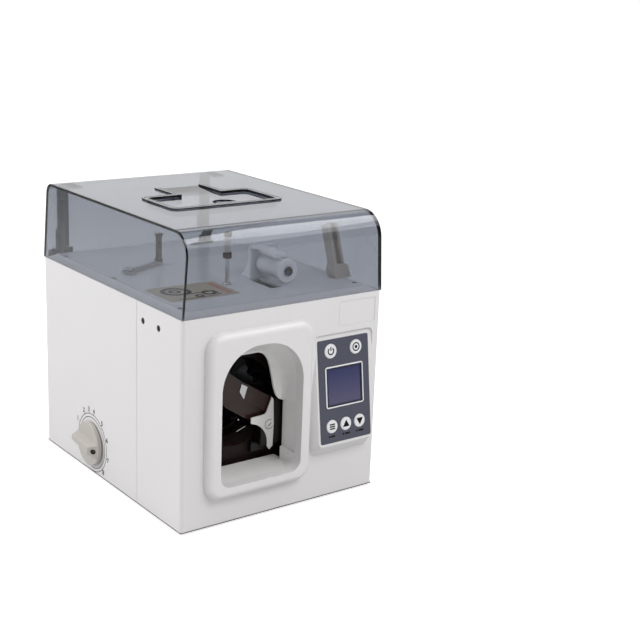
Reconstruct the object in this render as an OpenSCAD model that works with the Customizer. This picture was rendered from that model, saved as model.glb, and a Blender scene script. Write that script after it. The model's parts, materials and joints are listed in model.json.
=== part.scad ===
// Desktop banknote strapping machine.
// The housing is measured from its front left bottom corner: X to the right,
// Y to the back, Z up from the table. place() moves it to the part's origin.

/* [Housing] */
// Width of the housing
body_w = 230; // [224:1:240]
// Depth of the housing
body_d = 284; // [276:1:300]
// Height of the seam between housing and lid
seam_z = 210; // [206:1:216]
// Wall of the moulded covers
wall = 2.5; // [2:0.1:3]
// Height of the rubber feet
foot_h = 3; // [2:0.5:5]
// Diameter of the rubber feet
foot_dia = 16; // [12:1:20]
// Inset of each foot's centre from the housing's edges
foot_inset = 20; // [14:1:26]
// Radius of the housing's upright corners
corner_r = 4; // [3:0.5:6]
// Depth of the front moulding's sides
split_y = 83; // [78:1:85]
// Gap between neighbouring mouldings
seam_gap = 0.3; // [0.2:0.1:0.4]
// Height of the deck above the seam
rim_h = 4; // [3:0.5:5]
// Inset of the deck's rim at its foot
rim_foot = 5; // [4.5:0.5:6]
// Inset of the deck plate
rim_top = 12; // [10:0.5:14]
// Width of the lip under the deck plate
lip_w = 6; // [4:0.5:8]

/* [Mouth] */
// Left side of the mouth
mouth_x = 37.8; // [36:0.2:40]
// Sill of the mouth
mouth_z = 42; // [40:0.5:44]
// Width of the mouth
mouth_w = 92.4; // [90:0.2:94]
// Height of the mouth
mouth_h = 136.4; // [132:0.2:138]
// Upper corner radius of the mouth
mouth_rt = 42; // [30:1:44]
// Lower corner radius of the mouth
mouth_rb = 12; // [9:1:14]
// Width of the raised surround outside the mouth
pad_margin = 13.6; // [12:0.2:14]
// How far the surround stands out
pad_h = 9.5; // [8:0.5:10]
// Rounding of the surround's edge
pad_round = 7; // [5:0.5:7.5]
// Corner radius of the surround
pad_r = 16; // [13:1:18]
// Depth of the throat behind the front wall
throat_d = 22.5; // [20:0.5:24]
// Wall of the throat
throat_wall = 2; // [1.5:0.1:2.5]
// How far the sill reaches behind the throat
sill_d = 11; // [8:0.5:13]

/* [Control panel] */
// Centre of the panel from the left
panel_x = 184.5; // [182:0.5:187]
// Height of the panel's centre
panel_z = 115.4; // [112:0.2:118]
// Y of the panel's centre
panel_y = -4.8; // [-5.5:0.1:-4.5]
// Lean of the panel
panel_lean = 7.3; // [6:0.1:8]
// Width of the panel's face
panel_w = 67; // [66:0.5:68]
// Height of the panel's face
panel_h = 110; // [108:0.5:112]
// Panel wall
panel_wall = 2.5; // [2:0.1:3]
// Overlay width
overlay_w = 63; // [60:0.5:64]
// Overlay height
overlay_h = 104.4; // [102:0.2:106]
// Overlay thickness
overlay_t = 0.5; // [0.4:0.1:0.6]
// Diameter of the two upper keys
key_dia = 14.5; // [14:0.1:15]
// Diameter of the three lower keys
small_key_dia = 13.4; // [13:0.1:14]
// Key travel
key_travel = 0.8; // [0.5:0.1:0.9]
// Gap around a key
key_gap = 0.3; // [0.2:0.05:0.4]
// Height of the keys above the overlay
key_proud = 0.7; // [0.6:0.1:1]
// Half the spacing of the upper keys
key_pitch = 15.7; // [15:0.1:16]
// Spacing of the lower keys
small_key_pitch = 17.3; // [17:0.1:17.6]
// Upper keys above the panel's centre
keys_up = 40.5; // [40:0.5:42]
// Lower keys below the panel's centre
keys_down = 35.5; // [35:0.5:37]
// Display frame width
lcd_w = 47; // [45:0.5:49]
// Display frame height
lcd_h = 42; // [40:0.5:44]
// Height of the display's centre above the panel's centre
lcd_up = 4; // [3:0.5:5]

/* [Lid] */
// Height of the lid's top
lid_z = 288.5; // [284:0.5:294]
// Wall of the lid
lid_wall = 3; // [2.5:0.1:3.2]
// Lean of the lid's sides at the top
lid_draft = 5; // [4:0.5:6]
// Front rounding of the lid
lid_rf = 24; // [20:1:26]
// Rear rounding of the lid
lid_rb = 10; // [8:1:14]
// Depth of the shallow tray in the lid's top
tray_d = 1.2; // [0.9:0.1:1.5]
// Depth of the rib under the tray's bead
rib_d = 7; // [5:0.5:9]
// Left side of the tray's wide part
tray_x = 48; // [46:1:50]
// Front of the tray
tray_y = 97; // [94:1:100]
// Width of the tray's wide part
tray_w = 130; // [126:1:132]
// Depth of the tray's wide part
tray_len = 68; // [64:1:70]
// Left side of the tray's stem
stem_x = 88; // [86:1:92]
// Width of the stem
stem_w = 59; // [56:1:62]
// Length of the stem
stem_len = 38; // [34:1:42]
// Width of the bead round the tray
bead_w = 6; // [5:0.5:7]
// Height of the bead
bead_h = 1.5; // [1:0.1:2]

/* [Knob] */
// Y of the knob
knob_y = 177; // [174:1:180]
// Height of the knob
knob_z = 34.5; // [33:0.5:37]
// Radius of the knob's skirt
knob_r = 24; // [22:0.5:25]
// How far the knob stands out
knob_reach = 20; // [18:0.5:22]
// Thickness of the skirt
skirt_t = 5; // [4:0.5:6]
// Gap between skirt and housing
knob_gap = 1; // [0.6:0.1:1.5]
// Width of the grip bar
grip_w = 13; // [11:0.5:15]
// Angle of the grip bar
grip_turn = -18; // [-60:2:60]
// Radius of the knob's shaft
pot_shaft_r = 3; // [2.5:0.25:3.5]

/* [Tape path] */
// X of the tape as it drops through the deck
tape_x = 134; // [133:0.5:135]
// Y of the tape's middle
tape_y = 66.5; // [66:0.5:67]
// Width of the tape channel
tape_w = 34; // [32:0.5:35]
// Width of the slot in the deck
slot_w = 13; // [12:0.5:14]
// Length of the slot in the deck
slot_len = 40; // [38:0.5:41]
// X of the guide roller
guide_x = 148; // [147:0.5:149]
// Height of the guide roller's axis
guide_z = 228.5; // [228:0.5:230]
// Radius of the guide roller
guide_r = 10; // [9:0.25:10.5]
// Radius of the guide roller's flange
flange_r = 12; // [11:0.25:12.5]
// Radius of the guide roller's pin
guide_pin_r = 3; // [2.5:0.25:3.5]

/* [Mechanism] */
// Front of the front mechanism plate
plate_y = 45; // [44.6:0.1:45.4]
// Thickness of the mechanism plates
plate_t = 2; // [1.6:0.1:2.4]
// Gap between the two mechanism plates
bay_d = 39; // [38.4:0.1:40]
// Height of the mechanism plates
plate_z = 190; // [186:1:196]
// X of the tape arch's centre
arch_x = 88; // [87:0.5:89]
// Height of the tape arch's centre
arch_z = 104; // [103:0.5:105]
// Inner radius of the tape arch
arch_r = 46; // [44:0.5:47]
// Thickness of the tape arch
arch_t = 9; // [7:0.5:10]
// Half the opening of the arch at the press jaw
arch_gap = 48; // [46:1:54]
// Radius of the feed roller
feed_r = 14; // [13:0.25:14.5]
// Radius of the pinch roller
pinch_r = 9; // [8:0.25:9.5]
// Gap for the tape between the rollers
nip = 0.4; // [0.3:0.05:0.6]
// Height of the feed rollers
feed_z = 165; // [164:0.5:166]
// Radius of the roller shafts
shaft_r = 3; // [2.5:0.25:3.5]
// Radial clearance of a turning shaft
run_fit = 0.05; // [0.02:0.01:0.08]
// Teeth of the feed gear
gear_teeth = 36; // [30:6:42]
// Teeth of the motor pinion
pinion_teeth = 12; // [10:2:14]
// Gear module
gear_m = 1; // [0.9:0.05:1.1]
// X of the cam shaft
cam_x = 176; // [175:0.5:178]
// Height of the cam shaft
cam_z = 83; // [82:0.5:84]
// Smallest radius of the cam
cam_r = 10; // [9:0.5:11]
// Lift of the cam, and travel of the press jaw
cam_lift = 5; // [3:0.5:5]
// Radius of the cam shaft
cam_shaft_r = 4; // [3.5:0.25:4.5]
// Radius of the jaw's guide rods
rod_r = 2.5; // [2:0.25:3]

/* [Hidden] */
$fn = 64;

// The origin lies under the middle of the outer size.
front_reach = overlay_h / 2 * sin(panel_lean) + overlay_t * cos(panel_lean) - panel_y;
hinge_back = 5;
hinge_r = 4;
rear_reach = hinge_back + hinge_r;
centre_x = (body_w - knob_reach) / 2;
centre_y = (body_d + rear_reach - front_reach) / 2;

deck_z = seam_z + rim_h;
deck_t = 2.5;
lip_z = deck_z - deck_t;
base_t = 1.5;
base_z = foot_h + base_t;
rear_plate_y = plate_y + plate_t + bay_d;
feed_x = tape_x + nip / 2 + feed_r;
pinch_x = tape_x - nip / 2 - pinch_r;

cover_white = [0.87, 0.87, 0.865];
smoke = [0.55, 0.58, 0.62, 0.45];
dark_smoke = [0.16, 0.09, 0.07];
near_black = [0.09, 0.09, 0.10];
steel = [0.68, 0.69, 0.71];
slate = [0.27, 0.29, 0.35];

module place() {
    translate([-centre_x, -centre_y, 0]) children();
}

// ---- Shared shapes ----

module round_rect(w, h, r) {
    translate([r, 0]) square([w - 2 * r, h]);
    translate([0, r]) square([w, h - 2 * r]);
    for (x = [r, w - r], y = [r, h - r]) translate([x, y]) circle(r);
}

// A flat shape drawn in X and Z, given thickness t towards +Y from y.
module upright(y, t) {
    translate([0, y + t, 0]) rotate([90, 0, 0]) linear_extrude(t) children();
}

// A shape drawn in Y and Z, given thickness t towards +X from x.
module sideways(x, t) {
    translate([x, 0, 0]) rotate([90, 0, 90]) linear_extrude(t) children();
}

module rod_y(x, z, y1, y2, r) {
    translate([x, y2, z]) rotate([90, 0, 0]) cylinder(r = r, h = y2 - y1);
}

module rod_x(y, z, x1, x2, r) {
    translate([x1, y, z]) rotate([0, 90, 0]) cylinder(r = r, h = x2 - x1);
}

// A plate of thickness t with plan corners R and its upper edge rounded by r.
module pillow(w, h, R, r, t) {
    module edge(len) {
        translate([r, 0]) square([len - 2 * r, t]);
        square([len, t - r]);
        for (x = [r, len - r]) translate([x, t - r]) circle(r);
    }
    intersection() {
        union() {
            translate([R, 0, 0]) rotate([90, 0, 90]) linear_extrude(w - 2 * R) edge(h);
            translate([0, h - R, 0]) rotate([90, 0, 0]) linear_extrude(h - 2 * R) edge(w);
            for (x = [R, w - R], y = [R, h - R]) translate([x, y, 0]) rotate_extrude() intersection() {
                translate([-R, 0]) edge(2 * R);
                square([R, t]);
            }
        }
        cube([w, h, t]);
    }
}

// The mouth's outline, grown by g on all sides.
module mouth_outline(g = 0) {
    rb = mouth_rb + g;
    rt = mouth_rt + g;
    w = mouth_w + 2 * g;
    h = mouth_h + 2 * g;
    translate([mouth_x - g, mouth_z - g]) {
        translate([rb, 0]) square([w - 2 * rb, h - rt]);
        translate([0, rb]) square([w, h - rb - rt]);
        translate([rt, rb]) square([w - 2 * rt, h - rb]);
        for (x = [rb, w - rb]) translate([x, rb]) circle(rb);
        for (x = [rt, w - rt]) translate([x, h - rt]) circle(rt);
    }
}

// Children are drawn flat on the panel's face: X right, Y up the face, Z outwards.
module on_panel() {
    translate([panel_x, panel_y, panel_z]) rotate([90 - panel_lean, 0, 0]) children();
}

module centred_round_rect(w, h, r) {
    translate([-w / 2, -h / 2]) round_rect(w, h, r);
}

function upper_keys() = [for (s = [-1, 1]) [s * key_pitch, keys_up]];
function lower_keys() = [for (s = [-1, 0, 1]) [s * small_key_pitch, -keys_down]];

// ---- Housing ----

// The sloping rim that rises from the seam to the deck, over the whole plan.
module rim_solid(extra = 0) {
    a = rim_foot;
    b = rim_top - extra;
    intersection() {
        upright(0, body_d) polygon([[a, seam_z - wall], [a, seam_z], [b, deck_z], [body_w - b, deck_z],
            [body_w - a, seam_z], [body_w - a, seam_z - wall]]);
        sideways(0, body_w) polygon([[a, seam_z - wall], [a, seam_z], [b, deck_z], [body_d - b, deck_z],
            [body_d - a, seam_z], [body_d - a, seam_z - wall]]);
    }
}

// Walls, top flange and lip shared by the two covers; later cut at the split.
module housing_shell() {
    difference() {
        union() {
            translate([0, 0, foot_h]) linear_extrude(seam_z - foot_h) difference() {
                round_rect(body_w, body_d, corner_r);
                translate([wall, wall]) square([body_w - 2 * wall, body_d - 2 * wall]);
            }
            translate([wall / 2, wall / 2, seam_z - wall])
                cube([body_w - wall, body_d - wall, wall]);
            rim_solid();
        }
        translate([rim_top, rim_top, lip_z])
            cube([body_w - 2 * rim_top, body_d - 2 * rim_top, 20]);
        translate([rim_top + lip_w, rim_top + lip_w, seam_z - 10])
            cube([body_w - 2 * (rim_top + lip_w), body_d - 2 * (rim_top + lip_w), 20]);
        for (p = deck_screw_points) translate([p[0], p[1], seam_z - wall - 1]) cylinder(r = 1.52, h = 8);
    }
}

boss_r = 4;
boss_h = 14;
boss_hole_r = 1.3;
front_bosses = [[9, 9], [body_w - 9, 9], [9, split_y - 12], [body_w - 9, split_y - 12]];
rear_bosses = [[9, split_y + 14], [body_w - 9, split_y + 14], [9, body_d - 9], [body_w - 9, body_d - 9]];

// Screw bosses that stand on the base plate, tied to the side walls by a rib.
module bosses(points) {
    for (p = points) {
        side = p[0] < body_w / 2 ? wall / 2 : p[0];
        difference() {
            union() {
                translate([p[0], p[1], base_z]) cylinder(r = boss_r, h = boss_h);
                translate([side, p[1] - 1, base_z]) cube([9 - wall / 2, 2, boss_h]);
            }
            translate([p[0], p[1], base_z - 1]) cylinder(r = boss_hole_r, h = boss_h - 2);
        }
    }
}

pad_x = mouth_x - pad_margin;
pad_z = mouth_z - pad_margin + 1.6;
pad_w = mouth_w + 2 * pad_margin - 0.6;
pad_top = 193.5;

plate_recess = [177.5, 178.8, 45.5, 25.6];
recess_depth = 0.6;
side_screw_z = 192.6;
side_screw_y = [42, 71];
screw_head_r = 3;
screw_r = 1.6;
screw_sink = 1.4;

module panel_holes(t1, t2, clear) {
    on_panel() translate([0, 0, t1]) {
        for (p = upper_keys()) translate(p) cylinder(r = key_dia / 2 + clear, h = t2 - t1);
        for (p = lower_keys()) translate(p) cylinder(r = small_key_dia / 2 + clear, h = t2 - t1);
        translate([0, lcd_up, 0]) linear_extrude(t2 - t1) centred_round_rect(lcd_w - 3, lcd_h - 3, 1);
    }
}

// The panel's housing: a wedge that stands out at its foot and sinks in at its head.
module panel_wedge() {
    base_margin = 3.5;
    hull() {
        on_panel() translate([0, 0, -1]) linear_extrude(1) centred_round_rect(panel_w, panel_h, 5, $fn = 32);
        intersection() {
            upright(0, 1) translate([panel_x - panel_w / 2 - base_margin, panel_z - panel_h / 2 - 12])
                round_rect(panel_w + 2 * base_margin, panel_h / 2 + 20, 7, $fn = 32);
            translate([0, -1, 0]) cube([body_w, 4, seam_z]);
        }
    }
    // floor of the pocket round the panel's head
    intersection() {
        on_panel() translate([0, 0, -panel_wall]) linear_extrude(panel_wall)
            centred_round_rect(panel_w + 7, panel_h + 7, 7);
        translate([0, 0, panel_z]) cube([body_w, 10, 100]);
    }
}

module front_cover() {
    color(cover_white) place() difference() {
        union() {
            intersection() {
                housing_shell();
                translate([-1, -1, 0]) cube([body_w + 2, split_y + 1, lid_z]);
            }
            bosses(front_bosses);
            translate([pad_x, 0, pad_z]) rotate([90, 0, 0])
                pillow(pad_w, pad_top - pad_z, pad_r, pad_round, pad_h);
            panel_wedge();
        }
        upright(-pad_h - 1, pad_h + wall + 2) mouth_outline();
        // room behind the panel's wall
        on_panel() translate([-panel_w / 2 + 2, -panel_h / 2 + 2, -panel_wall - 30])
            cube([panel_w - 4, panel_h - 4, 30]);
        // shallow pocket that the panel's head sinks into
        on_panel() linear_extrude(20) centred_round_rect(panel_w + 6, panel_h + 6, 6);
        panel_holes(-panel_wall - 1, 1, key_gap);
        translate([plate_recess[0], recess_depth, plate_recess[1]]) rotate([90, 0, 0])
            linear_extrude(3) round_rect(plate_recess[2], plate_recess[3], 2);
        for (y = side_screw_y) {
            rod_x(y, side_screw_z, -1, body_w + 1, screw_r + 0.2);
            rod_x(y, side_screw_z, -1, screw_sink, screw_head_r + 0.2);
            rod_x(y, side_screw_z, body_w - screw_sink, body_w + 1, screw_head_r + 0.2);
        }
    }
}

inlet_x = 150;
inlet_z = 34;
inlet_w = 28;
inlet_h = 20;
switch_x = inlet_x + 24;
switch_w = 13.5;
switch_h = 20;
vent_x = 118;
vent_z = 140;
vent_count = 9;
vent_pitch = 9;
vent_w = 3.5;
vent_h = 46;

module rear_shell() {
    color(cover_white) place() difference() {
        union() {
            intersection() {
                housing_shell();
                translate([-1, split_y + seam_gap, 0]) cube([body_w + 2, body_d, lid_z]);
            }
            bosses(rear_bosses);
        }
        rod_x(knob_y, knob_z, -1, wall + 1, pot_shaft_r + 0.6);
        translate([inlet_x - inlet_w / 2, body_d - wall - 1, inlet_z - inlet_h / 2])
            cube([switch_x - inlet_x + (inlet_w + switch_w) / 2, wall + 2, inlet_h]);
        for (i = [0 : vent_count - 1])
            upright(body_d - wall - 1, wall + 2) translate([vent_x + i * vent_pitch, vent_z])
                round_rect(vent_w, vent_h, vent_w / 2 - 0.01);
    }
}

module base_plate() {
    edge = wall + seam_gap;
    holes = concat(front_bosses, rear_bosses);
    slot = [6, 22];
    color(steel) place() difference() {
        translate([edge, edge, foot_h]) cube([body_w - 2 * edge, body_d - 2 * edge, base_t]);
        for (p = holes) translate([p[0], p[1], foot_h - 1]) cylinder(r = boss_hole_r + 0.5, h = base_t + 2);
        for (x = [60 : 14 : body_w - 58], y = [120, 150]) translate([x, y, foot_h - 1])
            linear_extrude(base_t + 2) round_rect(slot[0], slot[1], slot[0] / 2 - 0.1);
    }
}

foot_points = [for (x = [foot_inset, body_w - foot_inset], y = [foot_inset, body_d - foot_inset]) [x, y]];

module feet() {
    color([0.12, 0.12, 0.12]) place() for (p = foot_points) translate([p[0], p[1], 0]) rotate_extrude() {
        difference() {
            polygon([[0, 0], [foot_dia / 2 - 1, 0], [foot_dia / 2, foot_h], [0, foot_h]]);
            square([2.2, 1.2]);
        }
    }
}

// White throat behind the mouth: a funnel, a back wall with a flared notch, and the sill.
module mouth_liner() {
    y1 = wall;
    y2 = wall + throat_d;
    back_t = 2.5;
    low_z = 107;
    floor_t = 2.5;
    hood_r = 34;
    hood = [50, mouth_z, 78.8, 117.4];
    // edge of the back wall's notch, from its top down to the flare
    notch = [[100, 158.5], [105, 156.8], [109.2, 153.5], [112.3, 148.7], [115.5, 139.7], [117.9, 129],
        [120.3, 118.2], [123.5, 109.8], [127, 106], [133.2, 103.6], [133.2, mouth_z]];
    color([0.90, 0.90, 0.90]) place() difference() {
        union() {
            difference() {
                upright(y1, throat_d) mouth_outline(throat_wall + 2);
                hull() {
                    upright(y1 - 1, 1) mouth_outline(0, $fn = 32);
                    upright(y2, 1) {
                        translate([mouth_x, mouth_z]) square([hood[0] + hood[2] - mouth_x, 80]);
                        for (x = [hood[0] + hood_r, hood[0] + hood[2] - hood_r])
                            translate([x, hood[1] + hood[3] - hood_r]) circle(hood_r, $fn = 32);
                    }
                }
            }
            upright(y2, back_t) mouth_outline(throat_wall + 2);
            translate([mouth_x - 2, y2, mouth_z - floor_t])
                cube([mouth_w + 4, back_t + sill_d, floor_t]);
        }
        // flared notch in the back wall
        upright(y2 - 0.6, back_t + 2)
            polygon(concat([[mouth_x, mouth_z], [mouth_x, 150], [60, 158.5]], notch));
        // the lower part of the right wall is set back behind the hood
        translate([mouth_x + mouth_w - 8, y1 - 1, mouth_z + 14])
            cube([8 + 3 - throat_wall / 2, throat_d + 1, low_z - mouth_z - 14]);
    }
}

// ---- Deck ----

deck_edge = rim_top + seam_gap;
post_x = 98;
post_y = 80;
arm_x = 36;
arm_y = 160;
arm_len = 50.6;
arm_angle = 24.5;
arm_t = 3;
arm_pin_r = 2.5;
support_y = 46;
bracket_y = 90;
bracket_t = 4;
bracket_screws = [[155, bracket_y + bracket_t + 6], [141, bracket_y + bracket_t + 6]];

module deck() {
    color([0.80, 0.81, 0.83]) place() difference() {
        translate([deck_edge, deck_edge, lip_z])
            cube([body_w - 2 * deck_edge, body_d - 2 * deck_edge, deck_t]);
        translate([tape_x + 0.5 - slot_w / 2, tape_y - slot_len / 2, lip_z - 1])
            cube([slot_w, slot_len, deck_t + 2]);
        translate([post_x, post_y, lip_z - 1]) cylinder(r = 2.05, h = deck_t + 2);
        translate([arm_x, arm_y, lip_z - 1]) cylinder(r = arm_pin_r + 0.02, h = deck_t + 2);
        for (p = bracket_screws) translate([p[0], p[1], lip_z - 1]) cylinder(r = 1.5, h = deck_t + 2);
        for (p = deck_screw_points) translate([p[0], p[1], lip_z - 1]) {
            cylinder(r = 1.8, h = deck_t + 2);
            translate([0, 0, deck_t + 1 - 1.4]) cylinder(r = 3.1, h = 3);
        }
    }
}

deck_screw_y = [26, body_d / 2 + 10, body_d - 26];
deck_screw_points = [for (x = [rim_top + 3, body_w - rim_top - 3], y = deck_screw_y) [x, y]];

module cross_slot(r, z) {
    translate([-r, -0.4, z]) cube([2 * r, 0.8, 1]);
    translate([-0.4, -r, z]) cube([0.8, 2 * r, 1]);
}

// Screws of the covers' sides, of the deck, and of the base plate.
module cover_screws() {
    color(steel) place() {
        for (y = side_screw_y, side = [0, 1]) translate([side * body_w, y, side_screw_z]) mirror([side, 0, 0])
            rotate([0, 90, 0]) difference() {
                union() {
                    translate([0, 0, screw_sink - 1.2]) cylinder(r = screw_head_r, h = 1.2);
                    translate([0, 0, screw_sink]) cylinder(r = screw_r, h = wall + 1.6);
                }
                cross_slot(2, screw_sink - 1.6);
            }
        for (p = deck_screw_points) translate([p[0], p[1], 0]) {
            difference() {
                translate([0, 0, deck_z - 1.4]) cylinder(r = 2.8, h = 1.3);
                cross_slot(2, deck_z - 0.7);
            }
            translate([0, 0, lip_z - 1]) cylinder(r = 1.5, h = deck_t - 0.4);
        }
        for (p = concat(front_bosses, rear_bosses)) translate([p[0], p[1], 0]) {
            difference() {
                translate([0, 0, foot_h - 1.4]) cylinder(r = 2.8, h = 1.4);
                cross_slot(2, foot_h - 1.9);
            }
            translate([0, 0, foot_h]) cylinder(r = boss_hole_r - 0.02, h = 9);
        }
    }
}

module roller_bracket() {
    plate_x = guide_x - 16;
    bar_z = guide_z + guide_r + 3.5;
    color([0.90, 0.90, 0.92]) place() {
        difference() {
            union() {
                upright(bracket_y, bracket_t) translate([plate_x, deck_z]) round_rect(32, 32.5, 3);
                translate([plate_x, bracket_y, deck_z]) cube([32, bracket_t + 12, 2]);
                // rounded bar that keeps the tape on the roller
                translate([0, bracket_y + 1, 0]) rotate([90, 0, 0]) linear_extrude(38) {
                    translate([guide_x - 12, bar_z]) square([12, 4]);
                    translate([guide_x - 12, bar_z + 2]) circle(2);
                    translate([guide_x, bar_z + 2]) circle(2);
                }
                for (x = [plate_x + 1, plate_x + 29]) hull() {
                    translate([x, bracket_y + bracket_t - 0.5, deck_z + 1]) cube([2, 11, 1]);
                    translate([x, bracket_y + bracket_t - 0.5, deck_z + 1]) cube([2, 1, 16]);
                }
            }
            rod_y(guide_x, guide_z, bracket_y - 1, bracket_y + bracket_t + 1, guide_pin_r + 0.02);
            for (p = bracket_screws) translate([p[0], p[1], deck_z - 1]) cylinder(r = 1.6, h = 6);
        }
    }
}

roller_front = 48;

module roller_pin() {
    color(steel) place() {
        rod_y(guide_x, guide_z, roller_front - 0.3, bracket_y + bracket_t, guide_pin_r);
        difference() {
            rod_y(guide_x, guide_z, roller_front - 2.6, roller_front - 0.3, 4.4);
            rod_y(guide_x, guide_z, roller_front - 3, roller_front - 1.2, 1.6, $fn = 6);
        }
        for (p = bracket_screws) translate([p[0], p[1], 0]) {
            translate([0, 0, deck_z + 2]) cylinder(r = 2.8, h = 1.6);
            translate([0, 0, lip_z]) cylinder(r = 1.48, h = deck_t + 2);
        }
    }
}

// White roller with a wide flange at its front end.
module guide_roller() {
    color([0.90, 0.90, 0.92]) place() translate([guide_x, bracket_y - 0.3, guide_z]) rotate([90, 0, 0])
        rotate_extrude() {
            len = bracket_y - 0.3 - roller_front;
            r1 = guide_pin_r + run_fit;
            polygon([[r1, 0], [guide_r - 1, 0], [guide_r, 1], [guide_r, len - 4.5],
                [flange_r, len - 3.5], [flange_r, len - 1], [flange_r - 1, len],
                [r1 + 2, len], [r1 + 2, len - 0.6], [r1, len - 0.6]]);
        }
}

arm_top = deck_z + 1.2 + arm_t;

module reel_arm() {
    color([0.60, 0.58, 0.56]) place() translate([arm_x, arm_y, 0]) rotate([0, 0, arm_angle]) {
        translate([0, 0, deck_z + 1.2]) difference() {
            linear_extrude(arm_t) {
                circle(6.5);
                translate([0, -2.5]) square([arm_len, 5]);
                translate([arm_len, 0]) circle(4.5);
            }
            translate([0, 0, -1]) cylinder(r = arm_pin_r + run_fit, h = arm_t + 2);
        }
        translate([arm_len, 0, arm_top]) cylinder(r = 1.5, h = 30);
    }
}

// Dark roller on the upright pin at the arm's free end.
module reel_arm_roller() {
    color([0.22, 0.16, 0.12]) place()
        translate([arm_x, arm_y, 0]) rotate([0, 0, arm_angle]) translate([arm_len, 0, arm_top + 0.3])
            rotate_extrude() {
                polygon([[1.5 + run_fit, 0], [4.2, 0], [4.2, 2], [3.2, 3], [3.2, 25], [4.2, 26], [4.2, 28.5],
                    [1.5 + run_fit, 28.5]]);
            }
}

module reel_arm_pivot() {
    color(steel) place() translate([arm_x, arm_y, 0]) {
        translate([0, 0, lip_z]) cylinder(r = arm_pin_r, h = arm_top + 0.3 - lip_z);
        translate([0, 0, deck_z]) difference() {
            cylinder(r = 4.5, h = 1);
            translate([0, 0, -1]) cylinder(r = arm_pin_r, h = 3);
        }
        translate([0, 0, arm_top + 0.3]) cylinder(r = 4.5, h = 1.6);
    }
}

post_top = lid_z - 17.5;
post_cap_h = 7;
post_collar_h = 5;
collar_z = deck_z + 0.465 * (post_top - deck_z);

module guide_post() {
    color([0.72, 0.71, 0.70]) place() translate([post_x, post_y, 0]) {
        translate([0, 0, lip_z]) cylinder(r = 2, h = post_top - post_cap_h - lip_z);
        translate([0, 0, deck_z]) difference() {
            cylinder(r = 4, h = 1.5);
            translate([0, 0, -1]) cylinder(r = 2, h = 4);
        }
    }
}

module post_fittings() {
    color([0.18, 0.16, 0.15]) place() translate([post_x, post_y, 0]) {
        // collar
        translate([0, 0, collar_z]) difference() {
            cylinder(r = 4.4, h = post_collar_h);
            translate([0, 0, -1]) cylinder(r = 2.01, h = post_collar_h + 2);
        }
        // pale sleeve between collar and cap
        translate([0, 0, collar_z + post_collar_h + seam_gap]) difference() {
            cylinder(r = 3.4, h = post_top - post_cap_h - collar_z - post_collar_h - seam_gap);
            translate([0, 0, -1]) cylinder(r = 2.01, h = post_top - collar_z);
        }
        // cap
        translate([0, 0, post_top - post_cap_h + 0.05]) cylinder(r = 3.9, h = post_cap_h);
    }
}

// Leaning support under the lid's right front corner, with a hoof-shaped foot.
module lid_support() {
    foot_x = body_w - 25.4;
    foot_w = 21.5;
    foot_z = 14;
    lean = 14.5;
    depth = 14;
    len = lid_z - deck_z - 19.5;
    web = 3;
    color([0.72, 0.69, 0.66]) place() {
        upright(support_y, depth) {
            polygon([[foot_x + 3, deck_z], [foot_x + foot_w, deck_z], [foot_x + foot_w - 1, deck_z + 4],
                [foot_x + foot_w - 5, deck_z + foot_z], [foot_x + 1, deck_z + foot_z], [foot_x, deck_z + 7]]);
            translate([foot_x + 7, deck_z + 7]) circle(7);
        }
        difference() {
            translate([foot_x + 11, support_y, deck_z + 3]) rotate([0, -lean, 0]) linear_extrude(len) {
                translate([-7, 1]) square([web, depth - 2]);
                translate([-7, depth - web - 1]) square([14, web]);
                translate([7 - web, 4]) square([web, depth - 5]);
            }
            translate([foot_x - 10, support_y - 1, deck_z - 10]) cube([50, depth + 2, 10]);
        }
    }
}

// ---- Lid ----

// The lid's outer shape, drawn in by e on every side.
module lid_solid(e = 0) {
    h = lid_z - seam_z;
    z0 = e > 0 ? seam_z - 1 : seam_z;
    top = lid_z - e;
    rf = lid_rf - e;
    rb = lid_rb - e;
    d = lid_draft;
    intersection() {
        sideways(-1, body_w + 2) {
            translate([e, z0]) square([body_d - 2 * e, top - rf - z0]);
            translate([e + rf, z0]) square([body_d - 2 * e - rf, top - rb - z0]);
            translate([e + rf, z0]) square([body_d - 2 * e - rf - rb, top - z0]);
            translate([e + rf, top - rf]) circle(rf, $fn = 96);
            translate([body_d - e - rb, top - rb]) circle(rb);
        }
        upright(-1, body_d + 2) polygon([[e, z0], [body_w - e, z0], [body_w - e - d, top], [e + d, top]]);
    }
}

// Plan of the tray, drawn in by e: a wide part at the front and a stem to the back.
module tray_plan(e) {
    translate([tray_x + e, tray_y + e]) round_rect(tray_w - 2 * e, tray_len - 2 * e, 9 - e / 2);
    translate([stem_x + e, tray_y + 30]) square([stem_w - 2 * e, tray_len + stem_len - 30]);
}

thumb_r = 13;
thumb_x = tray_x + 72;
thumb_y = tray_y + 21;
thumb_d = 3;
cup_wall = 1.8;
rib_t = 2.2;

// The tray's hollow, whose floor rises along the stem to the lid's top.
module tray_hollow(floor_z, top) {
    run = tray_y + tray_len;
    intersection() {
        translate([0, 0, floor_z]) linear_extrude(top - floor_z) tray_plan(bead_w);
        sideways(0, body_w)
            polygon([[0, floor_z], [run, floor_z], [run + stem_len, lid_z], [run + stem_len, top], [0, top]]);
    }
}

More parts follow.
